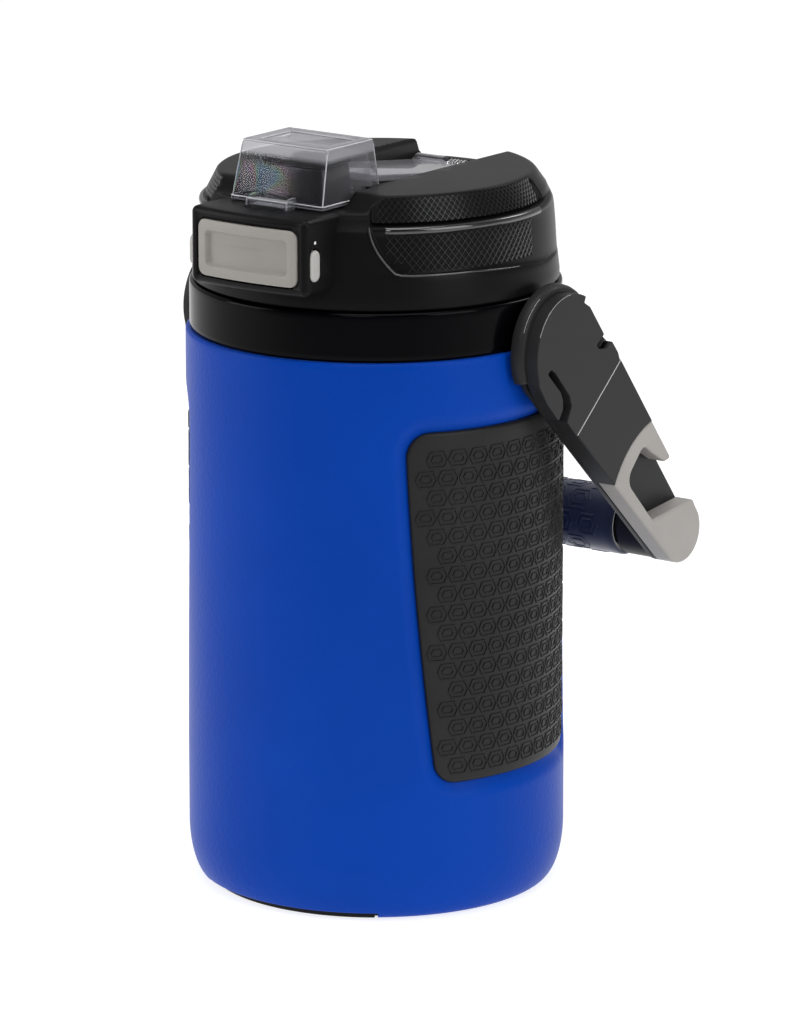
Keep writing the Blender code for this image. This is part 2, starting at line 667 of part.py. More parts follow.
def make_lid_inside(pivot):
    insert = add_piece("lid_insert", lathe([
        (0, INSERT_FLOOR), (INSERT_BORE, INSERT_FLOOR), (INSERT_BORE, INSERT_LOW),
        (INSERT_RADIUS, INSERT_LOW), (INSERT_RADIUS, INSERT_TOP - 0.8),
        (INSERT_RADIUS - 0.8, INSERT_TOP), (0, INSERT_TOP)], HIDDEN_STEPS), BLACK_SATIN, pivot)
    join(insert, thread_ridge(INSERT_BORE, INSERT_BORE - THREAD_DEPTH + 0.1, INSERT_THREAD_LOW))
    bore = rounded_rectangle(-SPOUT_BORE_HALF, SPOUT_BORE_HALF, SPOUT_Y - SPOUT_BORE_REACH,
                             SPOUT_Y + SPOUT_BORE_REACH, 4)
    cut(insert, prism(bore, 240, 255))

    spout = add_piece("spout", prism(rounded_rectangle(-16, 16, SPOUT_Y - 11.4, SPOUT_Y + 11.4, 6),
                                     249.5, 251.5), BLACK_GLOSS, pivot)
    foot = rounded_rectangle(-15, 15, SPOUT_Y - 11, SPOUT_Y + 11, 5)
    lip = rounded_rectangle(-14, 14, SPOUT_Y - 10, SPOUT_Y + 10, 4.5)
    join(spout, frustum(foot, 251, lip, SPOUT_TOP))
    cut(spout, prism(bore, 240, 290))

    add_piece("cap_hinge_pin", prism(disc(CAP_HINGE_Y, CAP_HINGE_Z, PIN_RADIUS, 16), -25, 25, "X"),
              STEEL, pivot)


def make_springs(lid_pivot):
    """The cap's torsion spring round the hinge pin, and the button's small push spring."""
    turns = 5
    half = 3.8
    leg_y = CAP_HINGE_Y - CAP_SPRING_RADIUS
    spots = [(-half, leg_y, CAP_HINGE_Z - 3.4), (-half, leg_y, CAP_HINGE_Z - 1.5)]
    for step in range(turns * 8 + 1):
        turn = math.radians(180 - 45 * step)
        spots.append((-half + 2 * half * step / (turns * 8),
                      CAP_HINGE_Y + CAP_SPRING_RADIUS * math.cos(turn),
                      CAP_HINGE_Z + CAP_SPRING_RADIUS * math.sin(turn)))
    spots.append((half, leg_y, CAP_HINGE_Z - 1.5))
    spots.append((half, CAP_HINGE_Y - 10.0, CAP_HINGE_Z - 1.7))
    coil("cap_spring", spots, 0.4, STEEL, lid_pivot)

    turns = 4
    low = -71.9
    high = -67.1
    spots = []
    for step in range(turns * 8 + 1):
        turn = math.radians(45 * step)
        spots.append((BUTTON_SPRING_RADIUS * math.cos(turn), low + (high - low) * step / (turns * 8),
                      BUTTON_SPRING_Z + BUTTON_SPRING_RADIUS * math.sin(turn)))
    coil("button_spring", spots, 0.3, STEEL, lid_pivot)


def make_gasket():
    pivot = pivot_empty("lid_lift", 0, 0, NECK_TOP)
    add_piece("lid_gasket", lathe([(50, NECK_TOP + GAP), (53.6, NECK_TOP + GAP), (53.6, 246.6),
                                   (50, 246.6)], HIDDEN_STEPS), GASKET, pivot)


def make_button():
    pivot = pivot_empty("button_guide", 0, BUTTON_FACE_Y, BUTTON_Z)
    face = prism(rounded_rectangle(-BUTTON_HALF, BUTTON_HALF, BUTTON_Z - BUTTON_HALF_HEIGHT,
                                   BUTTON_Z + BUTTON_HALF_HEIGHT, 3.2), BUTTON_FACE_Y, BUTTON_BACK_Y,
                 "Y")
    button = add_piece("button", face, WARM_GREY, pivot)
    for side in (1, -1):
        low, high = sorted((side * 10.3, side * 13.2))
        join(button, box(low, high, BUTTON_BACK_Y - 1, CATCH_BACK, CATCH_LOW, CATCH_HIGH))
    join(button, box(-12.8, 12.8, CATCH_BACK - 1.6, CATCH_BACK + 0.2, CATCH_LOW + 0.3,
                     CATCH_HIGH + 0.2))


def make_lock():
    pivot = pivot_empty("lock_guide", 0, LOCK_Y, LOCK_Z)
    pill = rounded_rectangle(LOCK_Y - 3.2, LOCK_Y + 3.2, LOCK_Z - 5.9, LOCK_Z + 5.9, 3.1)
    lock = add_piece("lock_slider", prism(pill, LOCK_LEFT, -25.1, "X"), PALE_GREY, pivot)
    join(lock, prism(pill, 23.2, LOCK_RIGHT, "X"))
    join(lock, box(-26, 24, LOCK_Y - 0.3, LOCK_Y + 2.4, 241.5, 247.8))


def make_cap():
    pivot = pivot_empty("cap_hinge", 0, CAP_HINGE_Y, CAP_HINGE_Z)
    low = rounded_rectangle(-21, 21, -60.3, -24, 4)
    high = rounded_rectangle(-18.6, 18.6, -54.5, -27.5, 4)
    cap = add_piece("spout_cap", frustum(low, CAP_LOW, high, CAP_TOP), CLEAR, pivot)
    inner_low = rounded_rectangle(-21 + CAP_WALL, 21 - CAP_WALL, -60.3 + CAP_WALL, -24 - CAP_WALL, 2.5)
    inner_high = rounded_rectangle(-19.2 + CAP_WALL, 19.2 - CAP_WALL, -56.2 + CAP_WALL,
                                   -26.6 - CAP_WALL, 2.5)
    cut(cap, frustum(inner_low, CAP_LOW - 0.1, inner_high, CAP_TOP - CAP_ROOF))
    cut(cap, prism(rounded_rectangle(-13.5, 13.5, -50, -32, 5), CAP_TOP - 2.2, CAP_TOP + 1))
    thick = CAP_ARM_THICKNESS / 2
    arm = [(CAP_HINGE_Y, CAP_HINGE_Z - thick), (CAP_HINGE_Y, CAP_HINGE_Z + thick),
           (CAP_ARM_FRONT, CAP_ARM_FRONT_Z + thick), (CAP_ARM_FRONT, CAP_ARM_FRONT_Z - thick)]
    join(cap, prism(arm, -CAP_ARM_HALF, CAP_ARM_HALF, "X"))
    join(cap, prism(disc(CAP_HINGE_Y, CAP_HINGE_Z, BARREL_RADIUS, 24), -CAP_ARM_HALF - 1,
                    CAP_ARM_HALF + 1, "X"))
    cut(cap, box(-6.2, 6.2, CAP_HINGE_Y - 5, CAP_HINGE_Y + 6, 250, 275))
    cut(cap, prism(disc(CAP_HINGE_Y, CAP_HINGE_Z, PIN_RADIUS + 0.4, 16), -30, 30, "X"))
    tab = [(-58.8, CAP_LOW + 0.2), (-58.8, CAP_LOW + 1.8), (TAB_FRONT + 0.7, CAP_LOW + 1.8),
           (TAB_FRONT, CAP_LOW + 1.1), (TAB_FRONT, NOSE_LOW), (NOSE_REAR, NOSE_LOW),
           (NOSE_REAR, NOSE_LOW + 1.4), (TAB_REAR, NOSE_LOW + 2.1), (TAB_REAR, CAP_LOW + 0.2)]
    join(cap, prism(tab, -TAB_HALF, TAB_HALF, "X"))

    seal = add_piece("cap_seal", prism(rounded_rectangle(-15, 15, SPOUT_Y - 11, SPOUT_Y + 11, 5),
                                       SPOUT_TOP + GAP, CAP_TOP - CAP_ROOF - GAP), BLACK_RUBBER,
                     pivot)
    join(seal, prism(rounded_rectangle(-11, 11, SPOUT_Y - 7, SPOUT_Y + 7, 3.5), 273,
                     SPOUT_TOP + 2))


clear_scene()
BLUE = finish("blue_shell", (0.003, 0.042, 0.33), 0.42)
BLACK_GLOSS = finish("black_gloss", (0.012, 0.012, 0.014), 0.22)
BLACK_SATIN = finish("black_satin", (0.03, 0.03, 0.032), 0.42)
BLACK_RUBBER = finish("black_rubber", (0.022, 0.022, 0.024), 0.7)
WARM_GREY = finish("warm_grey", (0.41, 0.39, 0.37), 0.45)
PALE_GREY = finish("pale_grey", (0.55, 0.54, 0.52), 0.45)
SLEEVE_NAVY = finish("sleeve_navy", (0.02, 0.026, 0.06), 0.6)
CLEAR = finish("clear_plastic", (0.75, 0.77, 0.8), 0.06, 0.0, 0.35)
FOAM = finish("foam", (0.83, 0.76, 0.55), 0.9)
LINER_WHITE = finish("liner_white", (0.8, 0.8, 0.78), 0.4)
GASKET = finish("silicone", (0.75, 0.75, 0.74), 0.6)
STEEL = finish("steel", (0.6, 0.6, 0.62), 0.3, 1.0)

make_outer_shell()
make_foot_pad()
make_foam()
make_liner()
make_grip_panels()
make_collar()
make_pivot_screws()
make_handle()
LID_PIVOT = pivot_empty("lid_axis", 0, 0, LID_LOW)
make_lid_shell(LID_PIVOT)
make_lid_inside(LID_PIVOT)
make_springs(LID_PIVOT)
make_gasket()
make_button()
make_lock()
make_cap()
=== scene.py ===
import math

import bmesh
import bpy
from mathutils import Matrix, Vector


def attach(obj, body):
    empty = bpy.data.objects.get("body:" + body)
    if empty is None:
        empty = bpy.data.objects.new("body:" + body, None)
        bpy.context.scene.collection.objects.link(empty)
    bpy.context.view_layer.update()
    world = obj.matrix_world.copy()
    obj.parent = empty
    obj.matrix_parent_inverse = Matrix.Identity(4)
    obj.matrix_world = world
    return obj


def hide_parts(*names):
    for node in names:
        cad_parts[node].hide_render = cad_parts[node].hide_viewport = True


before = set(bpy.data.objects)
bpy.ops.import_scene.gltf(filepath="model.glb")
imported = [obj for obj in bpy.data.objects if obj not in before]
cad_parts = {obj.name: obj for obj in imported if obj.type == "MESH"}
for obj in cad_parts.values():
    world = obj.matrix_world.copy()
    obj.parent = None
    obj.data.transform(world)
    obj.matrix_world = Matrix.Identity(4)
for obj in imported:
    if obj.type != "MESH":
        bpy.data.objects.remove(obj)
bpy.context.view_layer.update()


# ---- Camera, daylight and table ----------------------------------------------------------------
# The jug stands on a white table in a bright room.  The table top glows by itself, a painted light
# that fades to painted shade towards the front.  The camera looks a little down on it, with the
# button on the left and the hook on the right.

CAMERA_PLACE = (1.3493, -1.8190, 0.6999)
CAMERA_BACK = Vector((0.57517, -0.78175, 0.24094))
JUG_MIDDLE, LID_MIDDLE = (0.0, 0.0, 0.15), (0.0, 0.0, 0.26)
DARK_END = (0.593, -0.805, 0.0)

camera = bpy.data.objects.new("camera", bpy.data.cameras.new("camera"))
bpy.context.collection.objects.link(camera)
camera.location = CAMERA_PLACE
camera.rotation_mode = "QUATERNION"
camera.rotation_quaternion = (-CAMERA_BACK).to_track_quat("-Z", "Y")
camera.data.sensor_width = 36.0
camera.data.lens = 221.5
bpy.context.scene.camera = camera
bpy.context.scene.view_settings.view_transform = "Standard"


def add_lamp(name, place, target, size, watts):
    """A soft rectangular lamp that points at a spot on the jug."""
    lamp = bpy.data.lights.new(name, "AREA")
    lamp.shape = "RECTANGLE"
    lamp.size, lamp.size_y = size
    lamp.energy = watts
    made = bpy.data.objects.new(name, lamp)
    bpy.context.collection.objects.link(made)
    made.location = place
    made.rotation_mode = "QUATERNION"
    made.rotation_quaternion = (Vector(place) - Vector(target)).to_track_quat("Z", "Y")


add_lamp("left_softbox", (-1.25, -1.05, 0.75), JUG_MIDDLE, (0.9, 1.3), 12)
add_lamp("right_softbox", (1.44, -0.12, 0.80), JUG_MIDDLE, (0.8, 1.3), 10)
add_lamp("back_softbox", (0.37, 1.21, 1.24), LID_MIDDLE, (0.4, 0.4), 3)
add_lamp("top_softbox", (0.15, -0.25, 1.60), JUG_MIDDLE, (1.2, 1.2), 12)
add_lamp("front_fill", (0.9, -1.9, 1.30), JUG_MIDDLE, (0.7, 0.7), 7)


def add_node(tree, kind, **values):
    """Add a shader node and set the inputs named, with underscores for their spaces."""
    made = tree.nodes.new("ShaderNode" + kind)
    for name, value in values.items():
        made.inputs[name.replace("_", " ")].default_value = value
    return made


def connect(tree, *wires):
    """Link each (node, output, node, input)."""
    for source, output, target, entry in wires:
        tree.links.new(source.outputs[output], target.inputs[entry])


def add_ramp(tree, *stops):
    """A colour ramp from (position, colour) stops in rising order."""
    made = tree.nodes.new("ShaderNodeValToRGB")
    elements = made.color_ramp.elements
    elements[0].position, elements[1].position = stops[0][0], stops[-1][0]
    for position, colour in stops[1:-1]:
        elements.new(position)
    for element, (position, colour) in zip(elements, stops):
        element.color = (*colour, 1.0)
    return made


def toward_dark_end(tree, place, output, low):
    """From 0 at low to 1 at the room's dark end, in front of the jug."""
    nearness = add_node(tree, "VectorMath")
    nearness.operation = "DOT_PRODUCT"
    nearness.inputs[1].default_value = DARK_END
    share = add_node(tree, "MapRange", From_Min=low)
    connect(tree, (place, output, nearness, 0), (nearness, "Value", share, "Value"))
    return share


room = bpy.data.worlds.new("room")
bpy.context.scene.world = room
room.use_nodes = True
tree = room.node_tree
share = toward_dark_end(tree, add_node(tree, "TexCoord"), "Generated", -1.0)
walls = add_ramp(tree, (0.20, (1.0, 1.0, 1.0)), (0.85, (0.05, 0.05, 0.052)))
backdrop = tree.nodes["Background"]
backdrop.inputs["Strength"].default_value = 0.45
connect(tree, (share, "Result", walls, "Fac"), (walls, "Color", backdrop, "Color"))

table = bmesh.new()
bmesh.ops.create_grid(table, x_segments=1, y_segments=1, size=6.0)
table_mesh = bpy.data.meshes.new("table_top")
table.to_mesh(table_mesh)
table.free()
table_top = bpy.data.objects.new("table_top", table_mesh)
table_top.location = (0.0, 3.0, -0.0002)
bpy.context.collection.objects.link(table_top)
painted_glow_top = bpy.data.materials.new("painted_glow_top")
painted_glow_top.use_nodes = True
tree = painted_glow_top.node_tree
paint = tree.nodes["Principled BSDF"]
paint.inputs["Base Color"].default_value = (0.42, 0.42, 0.425, 1.0)
paint.inputs["Roughness"].default_value = 0.75
paint.inputs["Specular IOR Level"].default_value = 0.0
paint.inputs["Emission Color"].default_value = (1.0, 1.0, 1.0, 1.0)
# Painted light: the table top glows with no lamp, bright at the back and painted darker towards the
# front.
share = toward_dark_end(tree, add_node(tree, "NewGeometry"), "Position", -4.0)
glow = add_ramp(tree, (0.0, (0.90, 0.90, 0.90)), (0.86, (0.79, 0.79, 0.79)),
                (0.98, (0.22, 0.22, 0.22)))
connect(tree, (share, "Result", glow, "Fac"), (glow, "Color", paint, "Emission Strength"))
table_mesh.materials.append(painted_glow_top)


# ---- Outer shell -------------------------------------------------------------------------------
# One moulding of blue polyethylene with a fine leather grain.  Each side has a soft-edged dip
# that takes a rubber grip, the collar's lugs hang into its rim, and a notch shows the foot.

MM = 0.001
HANDS = ((1, "right"), (-1, "left"))
BODY_RADIUS, SHELL_TOP = 70.0, 209.2
FOOT_EDGE, FOOT_LOW, EDGE_HEIGHT = 62.8, 0.5, 21.0
PIVOT_Y, PIVOT_Z = 9.2, 207.4
GRIP_LOW, GRIP_HIGH, GRIP_CORNER, GRIP_DIP = 51.4, 183.0, 9.0, 2.9
NOTCH_HALF, NOTCH_TOP = 45.2, 2.9


def add_object(name, solid, body, look, slot, *stands_for, sharp=40):
    """Turn a bmesh in millimetres into a piece that rides on a body."""
    bmesh.ops.remove_doubles(solid, verts=solid.verts, dist=0.0005)
    bmesh.ops.recalc_face_normals(solid, faces=solid.faces)
    bmesh.ops.scale(solid, vec=(MM, MM, MM), verts=solid.verts)
    mesh = bpy.data.meshes.new(name)
    solid.to_mesh(mesh)
    solid.free()
    mesh.shade_smooth()
    mesh.set_sharp_from_angle(angle=math.radians(sharp))
    made = bpy.data.objects.new(name, mesh)
    bpy.context.collection.objects.link(made)
    if look is not None:
        mesh.materials.append(look)
        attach(made, body)
    if stands_for:
        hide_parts(*stands_for)
    return made


def loft(solid, rings, close=False):
    """Skin a run of closed rings that all have as many points, with a cap on each end."""
    rows = [[solid.verts.new(point) for point in ring] for ring in rings]
    pairs = list(zip(rows, rows[1:]))
    if close:
        pairs.append((rows[-1], rows[0]))
    else:
        solid.faces.new(rows[0])
        solid.faces.new(rows[-1][::-1])
    for lower, upper in pairs:
        for step in range(len(lower)):
            after = (step + 1) % len(lower)
            solid.faces.new((lower[step], upper[step], upper[after], lower[after]))
    return solid


def turned(profile, steps, swell=None):
    """Rings of a turned shape; swell(angle, radius, height) may press a dip into it."""
    rings = []
    for radius, height in profile:
        ring = []
        for step in range(steps):
            turn = math.tau * step / steps
            reach = swell(turn, radius, height) if swell else radius
            ring.append((reach * math.cos(turn), reach * math.sin(turn), height))
        rings.append(ring)
    return rings


def ease(low, high, value):
    """Smoothly from 0 at low to 1 at high."""
    share = min(1.0, max(0.0, (value - low) / (high - low)))
    return share * share * (3 - 2 * share)


def take_away(target, solid, name):
    """Cut a closed solid, in millimetres, out of a piece for good, so that the cut moves with it."""
    cutter = add_object(name, solid, None, None, None)
    step = target.modifiers.new(name, "BOOLEAN")
    step.operation = "DIFFERENCE"
    step.solver = "EXACT"
    step.object = cutter
    finished = target.evaluated_get(bpy.context.evaluated_depsgraph_get())
    whole, target.data = target.data, bpy.data.meshes.new_from_object(finished)
    target.modifiers.remove(step)
    bpy.data.objects.remove(cutter)
    bpy.data.meshes.remove(whole)


def grip_half_width(height):
    """Half the grip's width along the shell; it widens towards the top."""
    share = (height - 65) / 105
    return math.radians(36.2 + 7.9 * share + 3.4 * share * (1 - share)) * BODY_RADIUS


def outside_grip(across, height):
    """Distance from the grip's outline, negative inside it."""
    middle = (GRIP_LOW + GRIP_HIGH) / 2
    beside = abs(across) - (grip_half_width(height) - GRIP_CORNER)
    above = abs(height - middle) - ((GRIP_HIGH - GRIP_LOW) / 2 - GRIP_CORNER)
    corner = math.hypot(max(beside, 0.0), max(above, 0.0))
    return corner + min(max(beside, above), 0.0) - GRIP_CORNER


def shell_surface(turn, radius, height):
    """The shell's radius, pressed in where a grip sits."""
    if radius < BODY_RADIUS - 3 or height < 30:
        return radius
    across = math.asin(abs(math.sin(turn))) * BODY_RADIUS
    return radius - GRIP_DIP * (1 - ease(-0.6, 6.0, outside_grip(across, height)))


def plain_material(name):
    """A new material with its node tree, its shader and the piece's own coordinates."""
    made = bpy.data.materials.new(name)
    made.use_nodes = True
    tree = made.node_tree
    return made, tree, tree.nodes["Principled BSDF"], add_node(tree, "TexCoord")


def add_noise(tree, where, scale, detail=2.0, distortion=0.0):
    """Noise over the piece's own coordinates."""
    made = add_node(tree, "TexNoise", Scale=scale, Detail=detail, Distortion=distortion)
    connect(tree, (where, "Object", made, "Vector"))
    return made


def add_grain(tree, shader, source, output, strength, depth):
    """Bump the surface by a node's output, to a depth in metres."""
    bump = add_node(tree, "Bump", Strength=strength, Distance=depth)
    connect(tree, (source, output, bump, "Height"), (bump, "Normal", shader, "Normal"))


def add_patches(tree, shader, patches, dark, light, smooth, dull):
    """Soft patches that vary the colour, between two stops, and the roughness."""
    tone = add_ramp(tree, dark, light)
    wear = add_node(tree, "MapRange", To_Min=smooth, To_Max=dull)
    connect(tree, (patches, "Fac", tone, "Fac"), (tone, "Color", shader, "Base Color"),
            (patches, "Fac", wear, "Value"), (wear, "Result", shader, "Roughness"))


def leather(name, colour, deep, roughness):
    """Moulded plastic with a leather grain: fine cells, soft patches and a low sheen."""
    made, tree, shader, where = plain_material(name)
    cells = add_node(tree, "TexVoronoi", Scale=620.0)
    cells.feature = "SMOOTH_F1"
    cells.inputs["Smoothness"].default_value = 0.6
    grain = add_node(tree, "Math")
    grain.operation = "MULTIPLY_ADD"
    grain.inputs[1].default_value = 0.45
    connect(tree, (where, "Object", cells, "Vector"), (cells, "Distance", grain, 2),
            (add_noise(tree, where, 1900.0, 3.0), "Fac", grain, 0))
    add_grain(tree, shader, grain, "Value", 0.35, 0.00022)
    add_patches(tree, shader, add_noise(tree, where, 14.0, 4.0), (0.3, deep), (0.7, colour),
                roughness - 0.05, roughness + 0.07)
    shader.inputs["Specular IOR Level"].default_value = 0.07
    shader.inputs["Sheen Weight"].default_value = 0.05
    shader.inputs["Sheen Roughness"].default_value = 0.35
    return made


BLUE = leather("blue_leather_grain", (0.0, 0.050, 0.385), (0.0, 0.043, 0.34), 0.38)

profile = [(60.5, FOOT_LOW)]
for step in range(25):
    turn = math.radians(90 * step / 24)
    profile.append((FOOT_EDGE + (BODY_RADIUS - FOOT_EDGE) * math.sin(turn),
                    FOOT_LOW + EDGE_HEIGHT * (1 - math.cos(turn))))
wall_low, wall_high = FOOT_LOW + EDGE_HEIGHT, SHELL_TOP - 1.2
profile += [(BODY_RADIUS, wall_low + (wall_high - wall_low) * step / 120) for step in range(1, 121)]
profile += [(69.83, 208.6), (69.4, 209.05), (68.8, SHELL_TOP), (66.0, SHELL_TOP)]
profile += [(66.0, 10.0), (63.8, 6.5), (60.5, 6.3), (60.5, 3.9)]
shell = add_object("blue_shell", loft(bmesh.new(), turned(profile, 480, shell_surface), True),
                   "jug", BLUE, "shell_blue", "outer_shell")


def on_side(side):
    """Places on the jug's side, from the distance round the shell, the height and the radius."""
    def place(across, height, radius):
        turn = across / BODY_RADIUS
        return (side * radius * math.cos(turn), radius * math.sin(turn), height)
    return place


def on_front(across, height, radius):
    """The same, measured from the front."""
    turn = across / BODY_RADIUS
    return (radius * math.sin(turn), -radius * math.cos(turn), height)


def in_plan(a, b, z):
    """An outline seen from above."""
    return (a, b, z)


def from_front(a, b, y):
    """An outline seen from the front."""
    return (a, y, b)


def from_side(a, b, x):
    """An outline seen from the side."""
    return (x, a, b)


def arc(centre, radius, start, end, points):
    """Points on a flat arc, with its angles in degrees."""
    turns = [math.radians(start + (end - start) * step / (points - 1)) for step in range(points)]
    return [(centre[0] + radius * math.cos(t), centre[1] + radius * math.sin(t)) for t in turns]


def lug_outline(radius, top):
    """The U of a handle lug: straight sides and a round foot about the pivot."""
    across = PIVOT_Y * 1.003
    outline = arc((across, PIVOT_Z), radius, 180, 360, 33)
    outline += arc((across + radius - 2, top - 2), 2, 0, 90, 6)
    outline += arc((across - radius + 2, top - 2), 2, 90, 180, 6)
    return outline


def inset(outline, amount):
    """Move a closed outline inwards by the same amount all round."""
    twice_area = sum(a[0] * b[1] - b[0] * a[1] for a, b in zip(outline, outline[1:] + outline[:1]))
    turn = 1 if twice_area > 0 else -1
    moved = []
    for index, here in enumerate(outline):
        before = Vector(here) - Vector(outline[index - 1])
        after = Vector(outline[(index + 1) % len(outline)]) - Vector(here)
        normal = (Vector((-before.y, before.x)).normalized()
                  + Vector((-after.y, after.x)).normalized()).normalized()
        stretch = max(0.5, normal.dot(Vector((-before.y, before.x)).normalized()))
        moved.append(tuple(Vector(here) + normal * (turn * amount / stretch)))
    return moved


def slab(outline, stations, place, crown=0, solid=None):
    """A solid from (inset, level) stations; crown is how many rings close in on its middle."""
    rings = []
    for amount, level in stations:
        rings.append([place(a, b, level) for a, b in inset(outline, amount)])
    amount, level = stations[-1]
    last = inset(outline, amount)
    middle_a = sum(a for a, b in last) / len(last)
    middle_b = sum(b for a, b in last) / len(last)
    for ring in range(1, crown):
        keep = 1 - ring / crown
        rings.append([place(middle_a + (a - middle_a) * keep, middle_b + (b - middle_b) * keep,
                            level) for a, b in last])
    return loft(solid or bmesh.new(), rings)


def rounded_edge(low, high, radius, steps=5):
    """Stations of a straight side from low to high with a rounded upper edge."""
    way = 1 if high > low else -1
    stations = [(0.0, low)]
    for step in range(steps + 1):
        turn = math.radians(90 * step / steps)
        stations.append((radius * (1 - math.cos(turn)), high - way * radius * (1 - math.sin(turn))))
    return stations


for side, hand in HANDS:
    take_away(shell, slab(lug_outline(15.5, 214.0), [(0, 60.0), (0, 74.0)], on_side(side), 6),
              f"lug_slot_{hand}")
notch = [(-NOTCH_HALF + 2 * NOTCH_HALF * step / 40, NOTCH_TOP) for step in range(41)]
notch += [(-a, -2.0) for a, b in notch]
take_away(shell, slab(notch, [(0, 58.5), (0, 72.0)], on_front), "foot_notch")


# ---- Foot pad ----------------------------------------------------------------------------------
# A disc of black rubber pressed under the shell.  It shows as a thin dark lip in the front notch
# and carries the jug's weight.

def rubber(name, colour, roughness, grain=0.25, sheen=0.0):
    """Rubber: a dry, fine-grained surface with dusty patches."""
    made, tree, shader, where = plain_material(name)
    add_grain(tree, shader, add_noise(tree, where, 2600.0, 4.0), "Fac", grain, 0.0002)
    add_patches(tree, shader, add_noise(tree, where, 30.0, 5.0),
                (0.35, [0.8 * part for part in colour]), (0.75, [1.25 * part for part in colour]),
                roughness - 0.06, roughness + 0.08)
    shader.inputs["Specular IOR Level"].default_value = 0.22
    shader.inputs["Sheen Weight"].default_value = sheen
    shader.inputs["Sheen Roughness"].default_value = 0.4
    return made


PAD_RUBBER = rubber("pad_rubber", (0.010, 0.010, 0.011), 0.66)
foot_line = [(56.5, 0.6), (57.0, 0.0), (59.5, 0.0), (60.1, 0.5), (60.1, 2.5), (57.1, 3.5)]
pad = loft(bmesh.new(), turned(foot_line, 240), True)
lip = arc((0, 0), 62.2, 234, 306, 61) + arc((0, 0), 59.0, 306, 234, 61)
slab(lip, [(0.3, 0.0), (0.0, 0.3), (0.0, 2.3), (0.3, 2.6)], in_plan, solid=pad)
slab(arc((0, 0), 57.2, 0, 357, 120), [(0, 1.2), (0, 3.3)], in_plan, solid=pad)
add_object("rubber_foot", pad, "jug", PAD_RUBBER, "pad_rubber", "foot_pad")


# ---- Grips -------------------------------------------------------------------------------------
# Two thick rubber pads glued into the shell's dips.  Their faces carry rows of fine raised lines,
# a hexagon inside a hexagon, every other row shifted by half a step.

def grip_outline():
    """The rounded outline of a grip in (distance round the shell, height)."""
    low, high = GRIP_LOW + GRIP_CORNER, GRIP_HIGH - GRIP_CORNER
    half = arc((grip_half_width(low) - GRIP_CORNER, low), GRIP_CORNER, -90, 0, 12)
    for step in range(1, 16):
        height = low + (high - low) * step / 16
        half.append((grip_half_width(height), height))
    half += arc((grip_half_width(high) - GRIP_CORNER, high), GRIP_CORNER, 0, 90, 12)
    top_end, foot_end = half[-1][0], half[0][0]
    half += [(top_end * (1 - step / 12), GRIP_HIGH) for step in range(1, 12)]
    foot = [(-foot_end * (1 - step / 12), GRIP_LOW) for step in range(1, 24)]
    return half + [(0.0, GRIP_HIGH)] + [(-a, b) for a, b in half[::-1]] + foot


def ridge(solid, outline, width, low, high, place):
    """A raised line with sloping sides along a closed outline."""
    sections = []
    for amount, level in ((-width / 2, low), (-width / 5, high), (width / 5, high), (width / 2, low)):
        sections.append([place(a, b, level) for a, b in inset(outline, amount)])
    loft(solid, sections, True)


def hexagon(across, height, half_width, half_height, point):
    """A hexagon with level top and bottom strokes and pointed ends."""
    return [(across - half_width, height), (across - point, height - half_height),
            (across + point, height - half_height), (across + half_width, height),
            (across + point, height + half_height), (across - point, height + half_height)]


GRIP_RUBBER = rubber("grip_rubber", (0.013, 0.013, 0.0135), 0.42, 0.2, 0.02)
CELL_PITCH, ROW_PITCH = 8.5, 7.2
GRIP_FACE = 68.9
GRIP_HEXAGONS = ((4.0, 2.8, 2.6, 0.75, 0.42), (2.2, 1.3, 1.4, 0.65, 0.38))
for side, hand in HANDS:
    grip = slab(grip_outline(), rounded_edge(67.5, GRIP_FACE, 1.3), on_side(side), 26)
    for row in range(17):
        height = GRIP_LOW + 6.5 + row * ROW_PITCH
        for column in range(-9, 10):
            across = (column + 0.5 * (row % 2)) * CELL_PITCH
            if outside_grip(across, height) >= -5.6:
                continue
            for half_width, half_height, point, width, lift in GRIP_HEXAGONS:
                ridge(grip, hexagon(across, height, half_width, half_height, point), width,
                      GRIP_FACE - 0.2, GRIP_FACE + lift, on_side(side))
    add_object(f"grip_{hand}", grip, "jug", GRIP_RUBBER, "grip_rubber", f"grip_panel_{hand}",
               sharp=32)


# ---- Collar ------------------------------------------------------------------------------------
# A polished black ring snapped on the neck.  A lug hangs from it on each side, with the round
# stub that the handle swings on.

def moulded(name, colour, roughness, texture, scale=1500.0, coat=0.0, specular=0.5):
    """Injection-moulded plastic: fine texture, faint flow marks and handling haze."""
    made, tree, shader, where = plain_material(name)
    add_grain(tree, shader, add_noise(tree, where, scale), "Fac", texture, 0.0001)
    add_patches(tree, shader, add_noise(tree, where, 22.0, 6.0, 0.6),
                (0.3, [0.9 * part for part in colour]), (0.75, [1.08 * part for part in colour]),
                max(0.03, roughness - 0.04), roughness + 0.05)
    shader.inputs["Specular IOR Level"].default_value = specular
    shader.inputs["Coat Weight"].default_value = coat
    shader.inputs["Coat Roughness"].default_value = 0.12
    return made


